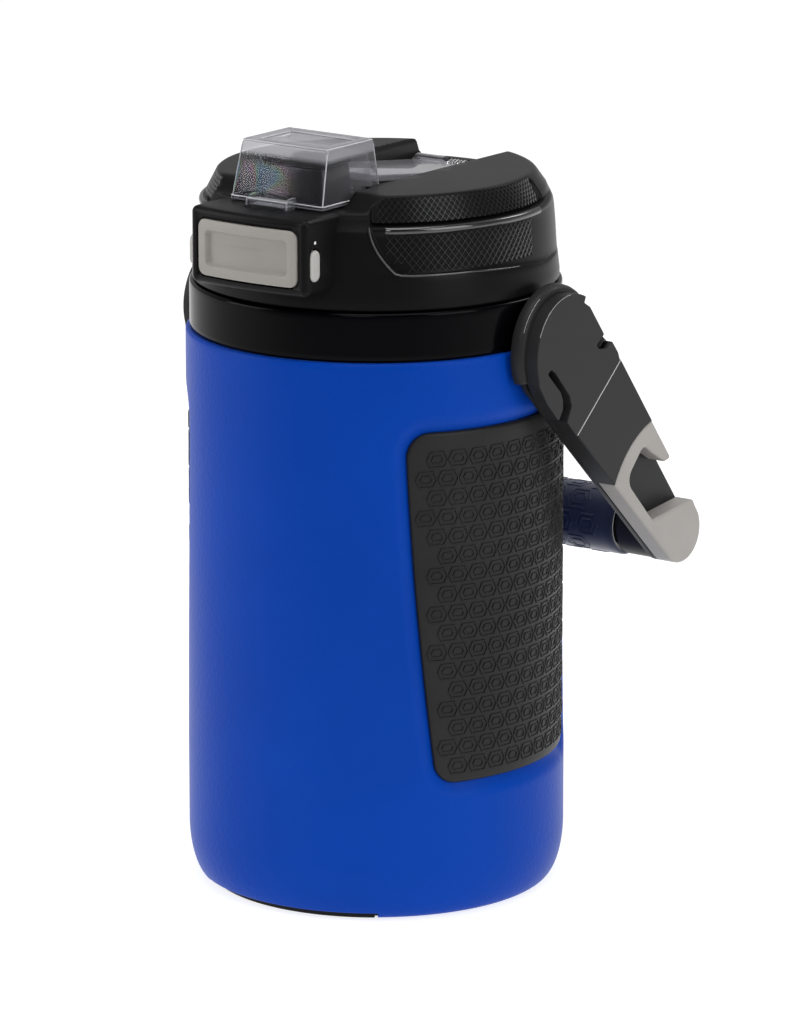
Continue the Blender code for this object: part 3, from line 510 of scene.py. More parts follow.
COLLAR_BLACK = moulded("collar_black", (0.0012, 0.0012, 0.0018), 0.14, 0.02, 700.0, specular=0.06)
COLLAR_RADIUS, COLLAR_LOW, COLLAR_TOP = 68.5, 209.5, 227.3
LUG_RADIUS, LUG_TOP, STUB_RADIUS = 15.0, 224.3, 8.0
ring = [(66.0, COLLAR_LOW), (68.2, COLLAR_LOW)]
ring += [(COLLAR_RADIUS, COLLAR_LOW + 0.3 + 16.3 * step / 8) for step in range(9)]
ring += arc((67.3, 226.1), 1.2, 0, 90, 6)
ring += [(54.5, COLLAR_TOP), (54.5, 213.0), (57.3, 213.0), (57.3, 224.5), (66.0, 224.5)]
collar = loft(bmesh.new(), turned(ring, 360), True)
for side, hand in HANDS:
    slab(lug_outline(LUG_RADIUS, LUG_TOP), rounded_edge(66.4, 70.2, 1.0), on_side(side), 8, collar)
    slab(arc((PIVOT_Y, PIVOT_Z), STUB_RADIUS, 0, 354, 60),
         rounded_edge(side * 67.5, side * 76.5, 0.6), from_side, solid=collar)
add_object("gloss_collar", collar, "jug", COLLAR_BLACK, "collar_black", "neck_collar", sharp=50)


# ---- Handle arms -------------------------------------------------------------------------------
# Two matching black mouldings.  Each is a deep strap with a thin plate that carries on behind the
# hook, and a boss that holds the end of the bar.

LEAN = math.radians(49.7)
ARM_INNER, ARM_OUTER, PLATE_OUTER = 70.5, 81.0, 73.0
HUB_RADIUS, SEAM_U = 20.2, 27.3
RING_CENTRE, RING_RADIUS = (-0.9, 0.1), 23.3
BAR_U, BAR_V, END_RADIUS = 110.3, 3.5, 12.0
HOOK_U, HOOK_V, HOOK_ARC = 95.8, 1.5, 38.0
RISE = math.degrees(math.atan2(BAR_V, BAR_U))
TANGENT = math.degrees(math.acos((HUB_RADIUS - END_RADIUS) / math.hypot(BAR_U, BAR_V)))


def along_arm(side):
    """Places (u, v) of an arm: u runs from the pivot to the bar and v towards the back."""
    def place(u, v, x):
        return (side * x, PIVOT_Y + u * math.cos(LEAN) + v * math.sin(LEAN),
                PIVOT_Z - u * math.sin(LEAN) + v * math.cos(LEAN))
    return place


def edge_at(u, upper):
    """A spot on the strap's upper or lower edge, straight from the hub's circle to the end's."""
    turn = math.radians(RISE + (TANGENT if upper else -TANGENT))
    start = Vector((HUB_RADIUS * math.cos(turn), HUB_RADIUS * math.sin(turn)))
    end = Vector((BAR_U + END_RADIUS * math.cos(turn), BAR_V + END_RADIUS * math.sin(turn)))
    return (u, start.y + (end.y - start.y) * (u - start.x) / (end.x - start.x))


def whole_strap():
    """The thin plate: the hub's circle, the bar's circle and the two edges."""
    outline = arc((0, 0), HUB_RADIUS, RISE + TANGENT, RISE + 360 - TANGENT, 61)
    outline += [edge_at(u, False) for u in range(20, 110, 15)]
    outline += arc((BAR_U, BAR_V), END_RADIUS, RISE - TANGENT, RISE + TANGENT, 37)
    return outline + [edge_at(u, True) for u in range(95, 5, -15)]


def joint_arc(grow):
    """The hook's curved joint, from the strap's upper edge to its lower one."""
    ends = []
    for upper, way in ((True, -1), (False, 1)):
        low, high = 0.0, 50.0
        for _ in range(40):
            middle = (low + high) / 2
            turn = math.radians(180.0 + way * middle)
            u = HOOK_U + (HOOK_ARC + grow) * math.cos(turn)
            v = HOOK_V + (HOOK_ARC + grow) * math.sin(turn)
            beyond = way * v < way * edge_at(u, upper)[1]
            low, high = (low, middle) if beyond else (middle, high)
        ends.append(180.0 + way * low)
    return arc((HOOK_U, HOOK_V), HOOK_ARC + grow, ends[0], ends[1], 29)


def rounded(corners, points=6):
    """Round each corner (a, b, radius) of an outline."""
    outline = []
    for index, (a, b, radius) in enumerate(corners):
        here = Vector((a, b))
        before = (Vector(corners[index - 1][:2]) - here).normalized()
        after = (Vector(corners[(index + 1) % len(corners)][:2]) - here).normalized()
        if radius <= 0 or before.angle(after) > math.radians(179):
            outline.append((a, b))
            continue
        half = before.angle(after) / 2
        middle = here + (before + after).normalized() * (radius / math.sin(half))
        first = here + before * (radius / math.tan(half)) - middle
        last = here + after * (radius / math.tan(half)) - middle
        turn = first.angle_signed(last)
        for step in range(points):
            outline.append(tuple(middle + Matrix.Rotation(-turn * step / (points - 1), 2) @ first))
    return outline


def hub_ring():
    """The broad ring round the pivot, cut off straight where the arm leaves it."""
    ring = [(a, b, 0) for a, b in arc(RING_CENTRE, RING_RADIUS, 86, 256, 61)]
    return rounded(ring + [(4.0, -13.0, 1.0), (6.5, 12.0, 1.0), (3.0, 22.6, 1.5)], 4)


def strap_to_hook():
    """The thick part of the strap, from the seam to the curved joint with the hook."""
    seam = [(SEAM_U + 0.15, edge_at(SEAM_U, upper)[1]) for upper in (True, False)]
    return seam + [edge_at(45, False)] + joint_arc(-0.15)[::-1] + [edge_at(45, True)]


def even_shading(made):
    """Let the flat faces rule the shading beside rounded edges."""
    soft = made.modifiers.new("even_shading", "WEIGHTED_NORMAL")
    soft.keep_sharp = True


ARM_BLACK = moulded("arm_black", (0.021, 0.021, 0.022), 0.40, 0.10, 2400.0, specular=0.15)
PLATE_SIDE = [(0.35, ARM_INNER), (0.0, ARM_INNER + 0.35), (0.0, PLATE_OUTER - 0.4),
              (0.12, PLATE_OUTER - 0.1), (0.4, PLATE_OUTER)]
RING_SIDE = [(0.6, 70.6), (0.0, 71.3), (0.2, 73.6), (0.6, 74.6), (1.3, 75.4), (2.2, 75.9)]
BOSS_SIDE = [(3.4, 57.3), (1.2, 57.6), (0.3, 58.4), (0.0, 59.6), (0.0, 71.0)]
LEDGE = [(0, 18.2), (0, -17.5), (SEAM_U, -17.5), (SEAM_U, 18.2)]
for side, hand in HANDS:
    place = along_arm(side)
    arm = slab(whole_strap(), PLATE_SIDE, place)
    slab(hub_ring(), RING_SIDE, place, solid=arm)
    slab(strap_to_hook(), rounded_edge(72.0, ARM_OUTER, 0.55), place, solid=arm)
    slab(LEDGE, [(0.0, 72.5), (0.0, 75.3)], place, solid=arm)
    slab(arc((BAR_U, BAR_V), 11.6, 0, 355, 72), BOSS_SIDE, place, solid=arm)
    even_shading(add_object(f"handle_side_{hand}", arm, "handle", ARM_BLACK, "arm_black",
                            f"handle_arm_{hand}", sharp=48))


# ---- Hub covers --------------------------------------------------------------------------------
# A black cap snapped over each pivot.  It ends in a straight seam across the arm, with a finger
# slot along its lower wing and a small nick in its upper one.

DISC_RADIUS = 21.1


def cover_outline():
    """The hub's disc and its two wings, up to the seam."""
    upper = [(SEAM_U, 18.5, 0.3), (23.9, 19.6, 2.5), (17.3, 19.7, 1.2), (16.6, 15.4, 0.8),
             (14.0, 12.7, 0.8), (11.0, 11.9, 0.7), (11.8, 18.1, 0.8), (-3.2, 18.7, 1.5),
             (-7.2, 17.3, 0.4)]
    lower = [(-5.2, -21.2, 0.6), (3.2, -22.1, 3.0), (13.9, -21.4, 0.7), (12.8, -17.0, 2.0),
             (10.2, -14.7, 1.5), (6.8, -13.7, 1.5), (-4.8, -14.7, 0.6), (-4.4, -12.2, 0.8),
             (-1.5, -11.4, 1.5), (12.0, -11.0, 3.0), (16.0, -12.6, 2.0), (18.4, -18.3, 0.6),
             (SEAM_U, -17.8, 0.3)]
    disc = [(a, b, 0) for a, b in arc((0, 0), DISC_RADIUS, 113, 248, 46)]
    return rounded(upper + disc + lower, 5)


COVER_SIDE = [(0.3, 75.4), (0.0, 75.7), (0.0, 80.6), (0.08, 80.85), (0.26, ARM_OUTER)]
NICK_SHADE_FLOOR = [(10.2, 11.0), (17.8, 11.0), (17.8, 18.9), (12.9, 18.0), (10.2, 17.4)]
for side, hand in HANDS:
    place = along_arm(side)
    even_shading(add_object(f"pivot_cover_{hand}", slab(cover_outline(), COVER_SIDE, place),
                            "handle", ARM_BLACK, "arm_black", f"hub_cover_{hand}", sharp=60))
    # Painted shade: the nick's bottom is a flat piece in the darker collar black, set there so that
    # it reads as shadow.
    shade_floor = slab(NICK_SHADE_FLOOR, [(0.0, 75.6), (0.0, 79.4), (0.3, 79.6)], place)
    add_object(f"nick_shade_floor_{hand}", shade_floor, "handle", COLLAR_BLACK, "arm_black")


def bead(solid, path, radius):
    """A thin round bead along a path of spots."""
    rings = []
    for index, here in enumerate(path):
        before, after = Vector(path[max(0, index - 1)]), Vector(path[min(len(path) - 1, index + 1)])
        ahead = (after - before).normalized()
        outward = Vector((here[0], here[1], 0.0)).normalized()
        outward = (outward - ahead * outward.dot(ahead)).normalized()
        beside = ahead.cross(outward)
        rings.append([tuple(Vector(here) + radius * (math.cos(a) * outward + math.sin(a) * beside))
                      for a in (math.tau * step / 10 for step in range(10))])
    loft(solid, rings)


def seam_highlight_chamfer(place):
    """A light-grey chamfer strip where the arm meets its cover: a painted highlight along the seam,
    with a real glossy coat.
    """
    ends = (edge_at(SEAM_U, False)[1] + 0.3, edge_at(SEAM_U, True)[1] - 0.3)
    section = [(SEAM_U - 0.15, 80.4), (SEAM_U + 0.32, 80.4), (SEAM_U + 0.32, 80.99),
               (SEAM_U + 0.16, 80.99), (SEAM_U - 0.15, 80.7)]
    return loft(bmesh.new(), [[place(u, v, x) for u, x in section] for v in ends])


# Light grey under a glossy coat: painted highlights on the seam strips and on the beads along the
# rims of the hub's disc and ring.
PAINTED_HIGHLIGHT_GREY = moulded("painted_highlight_grey", (0.30, 0.30, 0.30), 0.12, 0.02, 900.0, coat=1.0)
for side, hand in HANDS:
    place = along_arm(side)
    add_object(f"seam_highlight_edge_{hand}", seam_highlight_chamfer(place), "handle", PAINTED_HIGHLIGHT_GREY, "arm_black", sharp=20)
    rims = bmesh.new()
    disc_highlight_path = arc((0, 0), DISC_RADIUS - 0.12, 140, 206, 24)
    ring_highlight_path = arc(RING_CENTRE, RING_RADIUS - 0.8, 168, 206, 16)
    bead(rims, [place(u, v, 80.80) for u, v in disc_highlight_path], 0.13)
    bead(rims, [place(u, v, 74.9) for u, v in ring_highlight_path], 0.12)
    add_object(f"hub_rim_highlights_{hand}", rims, "handle", PAINTED_HIGHLIGHT_GREY, "arm_black", sharp=80)


# ---- Hooks -------------------------------------------------------------------------------------
# Warm-grey nylon hooks moulded over the arms' outer halves.  The jug hangs from a fence rail or a
# cart by the open slot, whose lower lip is broad and round.

def hook_outline():
    """The curved joint, the lower edge, the round end, the slot and the upper prong."""
    outline = joint_arc(0.15)
    outline += [edge_at(u, False) for u in range(76, 110, 8)]
    outline += arc((BAR_U, BAR_V), END_RADIUS, RISE - TANGENT, 74, 34)
    slot = [(106.4, 15.9, 1.4), (91.2, -6.1, 1.0), (66.2, -7.6, 5.0), (64.6, 8.2, 3.0),
            (70.5, 9.6, 2.5), (80.3, 13.0, 1.2)]
    return rounded([(a, b, 0) for a, b in outline] + slot + [(*edge_at(82.6, True), 1.2)])


HOOK_GREY = moulded("hook_grey", (0.345, 0.33, 0.31), 0.46, 0.12, 2200.0, specular=0.3)
HOOK_SIDE = [(0.3, PLATE_OUTER + 0.3), (0.0, PLATE_OUTER + 0.6)]
HOOK_SIDE += rounded_edge(PLATE_OUTER + 0.6, ARM_OUTER, 1.1, 6)[1:]
for side, hand in HANDS:
    hook = slab(hook_outline(), HOOK_SIDE, along_arm(side))
    even_shading(add_object(f"grey_hook_{hand}", hook, "handle", HOOK_GREY, "hook_grey",
                            f"fence_hook_{hand}", sharp=55))


# ---- Bar and sleeve ----------------------------------------------------------------------------
# A stiff black rod joins the two arms.  A soft dark-blue sleeve is pushed over it, cupped at both
# ends and embossed with larger nested hexagons than the grips.

SLEEVE_RADIUS, SLEEVE_END = 12.4, 57.0
SLEEVE_HEXAGONS = ((5.0, 3.9, 3.1), (3.0, 2.1, 1.9))
BAR_SPOT = along_arm(1)(BAR_U, BAR_V, 0)


def on_sleeve(along, around, radius):
    """A spot on the sleeve, from its place along the bar and the distance round it."""
    turn = around / SLEEVE_RADIUS
    return (along, BAR_SPOT[1] + radius * math.cos(turn), BAR_SPOT[2] + radius * math.sin(turn))


SLEEVE_SOFT = rubber("sleeve_soft", (0.013, 0.019, 0.048), 0.46, 0.25, 1.0)
sleeve_line = [(8.6, -53.0), (9.2, -55.0), (10.6, -56.6), (11.6, -SLEEVE_END), (12.15, -56.7),
               (SLEEVE_RADIUS, -56.0)]
sleeve_line += [(SLEEVE_RADIUS, -56.0 + 112 * step / 40) for step in range(1, 41)]
sleeve_line += [(radius, -along) for radius, along in sleeve_line[4::-1]]
ROUND = math.tau * SLEEVE_RADIUS
sleeve = loft(bmesh.new(), [[on_sleeve(along, ROUND * step / 96, radius) for step in range(96)]
                            for radius, along in sleeve_line], True)
for row in range(8):
    for column in range(-4, 5):
        along = (column + 0.5 * (row % 2)) * 11.4
        if abs(along) > 50:
            continue
        for half_width, half_height, point in SLEEVE_HEXAGONS:
            ridge(sleeve, hexagon(along, row * ROUND / 8, half_width, half_height, point), 0.8,
                  SLEEVE_RADIUS - 0.25, SLEEVE_RADIUS + 0.29, on_sleeve)
add_object("soft_sleeve", sleeve, "handle", SLEEVE_SOFT, "sleeve_navy", "handle_grip", sharp=32)


# ---- Lid shell ---------------------------------------------------------------------------------
# A satin black moulding that screws on the neck.  Both sides are cut back for the fingers, with a
# knurled band below, a polished ledge, and a second knurled band leaning in to the crown.

LID_BLACK = moulded("lid_black", (0.0055, 0.0053, 0.0055), 0.32, 0.08, 2200.0, specular=0.09)
PLAIN_LINE = [(66.9, 227.8), (67.4, 228.4), (67.4, 231.0), (67.0, 236.5), (66.72, 239.6),
              (66.6, 240.4), (66.5, 241.2), (66.35, 243.2), (65.35, 254.0), (65.0, 256.2),
              (64.75, 257.0), (64.5, 257.6), (64.1, 258.5), (63.6, 259.5), (63.1, 260.4),
              (62.5, 261.8), (59.4, 266.2), (58.5, 267.2), (57.6, 267.75), (56.4, 268.0)]
GRIP_LINE = [(66.9, 227.8), (67.4, 228.4), (67.4, 231.0), (67.0, 236.5), (66.72, 239.6),
             (66.45, 240.3), (65.0, 240.9), (64.7, 241.6), (64.0, 254.6), (64.15, 255.3),
             (64.5, 256.2), (64.3, 257.2), (63.4, 257.7), (60.7, 258.1), (61.0, 258.7),
             (61.95, 259.1), (58.1, 266.9), (57.9, 267.4), (57.4, 267.8), (56.4, 268.0)]
ROW_STEPS = [1, 1, 4, 3, 2, 3, 2, 2, 16, 3, 3, 4, 4, 3, 2, 2, 12, 3, 3, 3]


def fine_line(line):
    """Add points between a line's own, so that it has a row for each step."""
    rows = []
    for index in range(len(line) - 1):
        start, end = Vector(line[index]), Vector(line[index + 1])
        for step in range(ROW_STEPS[index + 1]):
            rows.append(start.lerp(end, step / ROW_STEPS[index + 1]))
    return rows + [Vector(line[-1])]


def crown_height(x, y):
    """How high the lid may stand: low in front of the crown and behind the hinge."""
    front = 262.5 + 5.8 * ease(-53.0, -42.0, y)
    back = 268.3 - 7.3 * ease(53.0, 57.5, y)
    return min(front, back)


def soft_minimum(first, second, blend):
    """The lower of two heights with a rounded corner between them."""
    share = min(1.0, max(0.0, 0.5 + 0.5 * (second - first) / blend))
    return second * (1 - share) + first * share - blend * share * (1 - share)


def grip_front_edge(height):
    """The front end of the finger grip, in degrees about +X, leaning back as it goes down."""
    return -55.3 + 0.024 * max(0.0, 260.0 - height) ** 2


def lid_spot(part, plain, grip):
    """A spot on the lid's outside; part runs 0 to 1 from the front to the back of its +X side."""
    front = grip_front_edge(grip.y)
    stops = [(0.0, -90.0), (0.17, front - 1.1), (0.19, front - 0.35), (0.21, front + 0.35),
             (0.23, front + 1.1), (0.62, 17.4), (0.65, 19.6), (1.0, 90.0)]
    for (low, first), (high, second) in zip(stops, stops[1:]):
        if part <= high:
            turn = first + (second - first) * (part - low) / (high - low)
            break
    rear = 1 - ease(17.6, 19.4, turn) if grip.y > 258.2 else 1 - ease(0.0, 44.0, turn)
    inside = ease(front - 0.5, front + 0.9, turn) * rear
    spot = plain.lerp(grip, inside)
    dip = 0.085 * min(36.0, max(0.0, turn + 22.0))
    height = spot.y - dip * ease(229.0, 239.0, spot.y) * (1 - ease(241.0, 250.0, spot.y))
    angle = math.radians(turn)
    x, y = spot.x * math.cos(angle), spot.x * math.sin(angle)
    return x, y, soft_minimum(height, crown_height(x, y), 0.9)


PLAIN_ROWS, GRIP_ROWS = fine_line(PLAIN_LINE), fine_line(GRIP_LINE)
HALF_STEPS = 260
rings = []
for plain, grip in zip(PLAIN_ROWS, GRIP_ROWS):
    half = [lid_spot(step / HALF_STEPS, plain, grip) for step in range(HALF_STEPS + 1)]
    rings.append(half + [(-x, y, z) for x, y, z in half[-2:0:-1]])
last_ring = rings[-1]
for keep in (0.985, 0.96, 0.92, 0.88, 0.84, 0.8, 0.75, 0.7, 0.6, 0.5, 0.4, 0.2, 0.0):
    ring = []
    for x, y, z in last_ring:
        top = 268.0 + 0.25 * (1 - keep)
        ring.append((x * keep, y * keep, soft_minimum(top, crown_height(x * keep, y * keep), 0.9)))
    rings.append(ring)
for radius, height in ((0.0, 252.0), (60.0, 252.0), (63.0, 249.0), (64.0, 227.8)):
    rings.append([(radius * x / math.hypot(x, y), radius * y / math.hypot(x, y), height)
                  for x, y, z in last_ring])
lid = add_object("lid_moulding", loft(bmesh.new(), rings, True), "lid", LID_BLACK, "lid_black",
                 "lid_shell", sharp=38)


def rectangle(a_low, a_high, b_low, b_high, corner, points=6):
    """A rounded rectangle."""
    return rounded([(a_low, b_low, corner), (a_high, b_low, corner), (a_high, b_high, corner),
                    (a_low, b_high, corner)], points)


def block(x_low, x_high, y_low, y_high, z_low, z_high, corner=0.0):
    """A closed block, its upright edges rounded, for cutting."""
    return slab(rectangle(x_low, x_high, y_low, y_high, corner), [(0, z_low), (0, z_high)], in_plan)


def channel():
    """The cutter of the arm's channel; its rim flares out to round the walls' edges."""
    wall = [(-24.5, 272), (-22.6, 268.6), (-21.9, 268.1), (-21.45, 267.4), (-21.3, 266.4),
            (-21.3, 263.0), (-21.2, 262.7), (-20.9, 262.5)]
    return slab(wall + [(-a, b) for a, b in wall[::-1]], [(0, -33.0), (0, 82.0)], from_front)


take_away(lid, channel(), "arm_channel")
take_away(lid, block(-21.0, 21.0, 14.0, 56.8, 255.0, 270.0, 1.0), "hinge_pocket")
take_away(lid, block(-23.5, 23.5, -62.2, -33.5, 262.5, 275.0, 2.0), "cap_seat")
take_away(lid, block(-15.4, 15.4, -53.4, -30.6, 250.0, 270.0, 5.0), "spout_hole")
take_away(lid, block(-25.0, 25.0, -80.0, -57.4, 236.0, 261.0, 1.0), "button_bay")


# ---- Knurling ----------------------------------------------------------------------------------
# Raised diamond lines moulded into both finger bands of the lid, so that wet hands can turn it.
# The upper band leans in towards the crown and runs further back than the lower one.

KNURL = moulded("knurl_black", (0.010, 0.010, 0.011), 0.24, 0.04, 1800.0, specular=0.6)
KNURL_BANDS = (((64.72, 241.4), (64.02, 254.6), -52.6, 8.0, 2.4, 4),
               ((62.1, 259.0), (58.0, 267.0), -53.2, 17.8, 2.15, 3))
RIDGE_WIDTH, RIDGE_LOW, RIDGE_HIGH = 0.5, -0.15, 0.3


def straight_ridge(solid, start, end, place):
    """One raised line between two spots, with sloping sides."""
    way = (Vector(end) - Vector(start)).normalized()
    beside = Vector((-way.y, way.x))
    section = ((-RIDGE_WIDTH / 2, RIDGE_LOW), (-RIDGE_WIDTH / 7, RIDGE_HIGH),
               (RIDGE_WIDTH / 7, RIDGE_HIGH), (RIDGE_WIDTH / 2, RIDGE_LOW))
    rings = []
    for step in range(4):
        middle = Vector(start).lerp(Vector(end), step / 3)
        rings.append([place(*(middle + beside * offset), level) for offset, level in section])
    loft(solid, rings)


def band_place(side, foot, head):
    """Places on a band from angle (degrees) and tenths of its slope, lifted off it by level."""
    slope = (Vector(head) - Vector(foot)).normalized()
    outward = Vector((slope.y, -slope.x))

    def place(turn, tenths, level):
        spot = Vector(foot).lerp(Vector(head), tenths / 10.0) + outward * level
        angle = math.radians(turn)
        return (side * spot.x * math.cos(angle), spot.x * math.sin(angle), spot.y)
    return place


for side, hand in HANDS:
    knurl = bmesh.new()
    for foot, head, first, last, pitch, rows in KNURL_BANDS:
        place = band_place(side, foot, head)
        for row in range(rows):
            low, high = 10.0 * row / rows, 10.0 * (row + 1) / rows
            border = grip_front_edge(foot[1] + (head[1] - foot[1]) * low / 10) + 1.6
            turn = first
            while turn + pitch <= last:
                if turn >= border:
                    straight_ridge(knurl, (turn, low), (turn + pitch, high), place)
                    straight_ridge(knurl, (turn + pitch, low), (turn, high), place)
                turn += pitch
    add_object(f"lid_knurl_{hand}", knurl, "lid", KNURL, "lid_black", sharp=60)


# ---- Lid edges ---------------------------------------------------------------------------------
# Moulding lines that hands have worn glossy: the border round each lower finger band, which sinks
# away towards the rear, and the rounded front of the ledge above it.

GLOSS_EDGE = moulded("worn_gloss_edge", (0.010, 0.010, 0.010), 0.14, 0.02, 900.0, specular=1.0)
BORDER_TOP, BORDER_LOW, BORDER_GAP = 258.0, 241.4, 0.5


def around_lid(side, turn, radius, height):
    """A spot on the lid at an angle, in degrees, from its side."""
    angle = math.radians(turn)
    return (side * radius * math.cos(angle), radius * math.sin(angle), height)


for side, hand in HANDS:
    border = []
    for step in range(13):
        height = BORDER_TOP - (BORDER_TOP - BORDER_LOW) * step / 12
        border.append(around_lid(side, grip_front_edge(height) - BORDER_GAP,
                                 65.95 - 0.10 * (height - 250.0), height))
    for step in range(1, 25):
        turn = grip_front_edge(BORDER_LOW) - BORDER_GAP + 46.0 * step / 24
        sag = 0.085 * max(0.0, turn + 22.0)
        border.append(around_lid(side, turn, 66.35 - 0.8 * ease(12, 24, step),
                                 240.9 - 0.5 * ease(0, 3, step) - sag))
    ledge_line = [around_lid(side, -53.6 + 68.0 * step / 40, 62.15 + 1.2 * ease(0, 3, step), 256.3)
                  for step in range(41)]
    edges = bmesh.new()
    bead(edges, border, 0.42)
    bead(edges, ledge_line, 1.5)
    add_object(f"lid_edges_{hand}", edges, "lid", GLOSS_EDGE, "lid_black", sharp=80)


# ---- Front housing -----------------------------------------------------------------------------
# The square nose moulded on the lid's front.  It frames the release button and carries the lock
# pill through its sides.

HOUSING_HALF, HOUSING_FRONT, FRONT_SAG = 26.3, -78.6, 2.4


def front_line(x, front):
    """The nose's curved front."""
    return front + FRONT_SAG * (x / HOUSING_HALF) ** 2


def housing_plan():
    """The nose seen from above."""
    corner = 3.0
    flat = HOUSING_HALF - corner
    outline = [(flat * step / 10, front_line(flat * step / 10, HOUSING_FRONT))
               for step in range(-10, 11)]
    edge = front_line(flat, HOUSING_FRONT) + corner - 0.4
    outline += arc((flat, edge), corner, -75, 0, 6)
    outline += [(HOUSING_HALF, -56.0), (-HOUSING_HALF, -56.0)]
    return outline + arc((-flat, edge), corner, 180, 255, 6)


quarter = [math.radians(18 * step) for step in range(6)]
stations = [(3.0 - 3.0 * math.sin(turn), 237.2 - 3.0 * math.cos(turn)) for turn in quarter]
stations += [(2.2 - 2.2 * math.sin(turn), 260.3 + 2.2 * math.cos(turn)) for turn in quarter[::-1]]
nose = add_object("front_housing", slab(housing_plan(), stations, in_plan), "lid", LID_BLACK,
                  "lid_black", sharp=50)
opening = rectangle(-22.6, 22.6, 237.4, 259.0, 3.6)
take_away(nose, slab(opening, [(-0.6, -81.5), (0.0, -77.6), (0.0, -66.9)], from_front),
          "button_opening")
take_away(nose, slab(rectangle(-74.6, -68.6, 239.8, 252.2, 2.9, 9), [(0, -40.0), (0, 40.0)],
                     from_side), "lock_opening")
take_away(nose, block(-15, 15, -66.95, -50, 254.5, 260.6), "catch_bay")
take_away(nose, block(-9.4, 9.4, -67.4, -61.9, 250.0, 270.0, 0.5), "tab_slot")
even_shading(nose)

MARK_WHITE = moulded("mark_white", (0.80, 0.80, 0.79), 0.5, 0.05)
dot = slab(arc((-71.6, 254.1), 0.6, 0, 345, 24), [(0, 26.1), (0.0, 26.3), (0.1, 26.36)], from_side)
add_object("lock_mark", dot, "lid", MARK_WHITE, "lock_grey")


# ---- Release button ----------------------------------------------------------------------------
# A wide warm-grey button with a raised frame round a dished thumb panel.  Two ribs carry the
# catch bar that holds the cap's tab.

BUTTON_GREY = moulded("button_grey", (0.315, 0.30, 0.275), 0.48, 0.14, 2600.0, specular=0.3)
BUTTON_FRONT, PANEL_DEPTH = -78.98, 1.7
BUTTON_HALF, BUTTON_LOW, BUTTON_TOP = 22.1, 237.9, 258.5


def button_ring(inward, depth):
    """A rounded rectangle on the button's face, moved in by inward and back by depth."""
    half, low, high = BUTTON_HALF - inward, BUTTON_LOW + inward, BUTTON_TOP - inward
    corner = max(1.6, 3.2 - 0.4 * inward)
    straight = half - corner
    ring = []
    for side, near, far, turn in ((1, low, high, -90), (-1, high, low, 90)):
        ring += [(side * straight * (step / 6 - 1), near) for step in range(1, 12)]
        ring += arc((side * straight, near + side * corner), corner, turn, turn + 90, 7)
        ring += arc((side * straight, far - side * corner), corner, turn + 90, turn + 180, 7)
    return [(a, front_line(a, BUTTON_FRONT) + depth, b) for a, b in ring]


rings = [[(a, back, b) for a, y, b in button_ring(inward, 0.0)]
         for inward, back in ((0.25, -74.9), (0.0, -75.2))]
rings += [button_ring(0.0, 0.55), button_ring(0.16, 0.16), button_ring(0.55, 0.0),
          button_ring(2.4, -0.02)]
rings += [button_ring(3.5 + 1.3 * step / 8, PANEL_DEPTH * ease(0, 8, step)) for step in range(9)]
rings += [button_ring(inward, PANEL_DEPTH + 0.2 * ease(4.8, 8.4, inward))
          for inward in (5.6, 6.6, 7.6, 8.4)]
button = loft(bmesh.new(), rings)
for low, high in ((10.3, 13.2), (-13.2, -10.3)):
    slab(rectangle(low, high, 256.0, 258.2, 0), [(0, -75.4), (0, -60.4)], from_front, solid=button)
slab(rectangle(-12.8, 12.8, 256.3, 258.3, 0), [(0, -62.0), (0, -60.2)], from_front, solid=button)
add_object("release_button", button, "button", BUTTON_GREY, "button_grey", "button", sharp=50)


# ---- Lock pill ---------------------------------------------------------------------------------
# A light-grey bar that slides through the nose from side to side.  Its round ends show, flush on
# the right and proud on the left; pushed over, it blocks the button.

LOCK_GREY = moulded("lock_grey", (0.44, 0.43, 0.41), 0.42, 0.08)
pill = rectangle(-74.35, -68.95, 239.9, 251.4, 2.65, 10)
lock = slab(pill, rounded_edge(-24.9, -28.6, 0.8), from_side)
slab(pill, rounded_edge(23.2, 26.7, 0.8), from_side, solid=lock)
slab(rectangle(-71.9, -69.2, 241.5, 247.8, 0), [(0, -26.0), (0, 24.0)], from_side, solid=lock)
add_object("lock_pill", lock, "lock", LOCK_GREY, "lock_grey", "lock_slider", sharp=50)


# ---- Spout -------------------------------------------------------------------------------------
# A black rectangular drinking spout that rises through the lid, rounded at the lip.  Its bore
# runs down into the jug.

SPOUT_BLACK = moulded("spout_black", (0.004, 0.004, 0.005), 0.20, 0.03, 900.0, specular=0.3)


def soft_box(half_width, front, back, corner, height):
    """A level ring with rounded corners."""
    return [(a, b, height) for a, b in rectangle(-half_width, half_width, front, back, corner, 8)]


rings = [soft_box(16, -53.4, -30.6, 6, 249.6), soft_box(16, -53.4, -30.6, 6, 251.4),
         soft_box(15, -53.0, -31.0, 5, 251.6), soft_box(14.1, -52.1, -31.9, 4.6, 274.9),
         soft_box(13.9, -51.9, -32.1, 4.4, 275.6), soft_box(13.4, -51.4, -32.6, 4.0, 276.0),
         soft_box(12.5, -50.5, -33.5, 3.6, 276.0), soft_box(12.0, -50.0, -34.0, 3.6, 275.5),
         soft_box(12.0, -50.0, -34.0, 3.6, 249.6)]
add_object("drinking_spout", loft(bmesh.new(), rings, True), "lid", SPOUT_BLACK, "spout_black",
           "spout", sharp=45)


# ---- Cap seal ----------------------------------------------------------------------------------
# A black silicone plug held inside the cap.  It closes the spout, with a lip that dips into the
# bore and a flange that lies on the spout's rim.

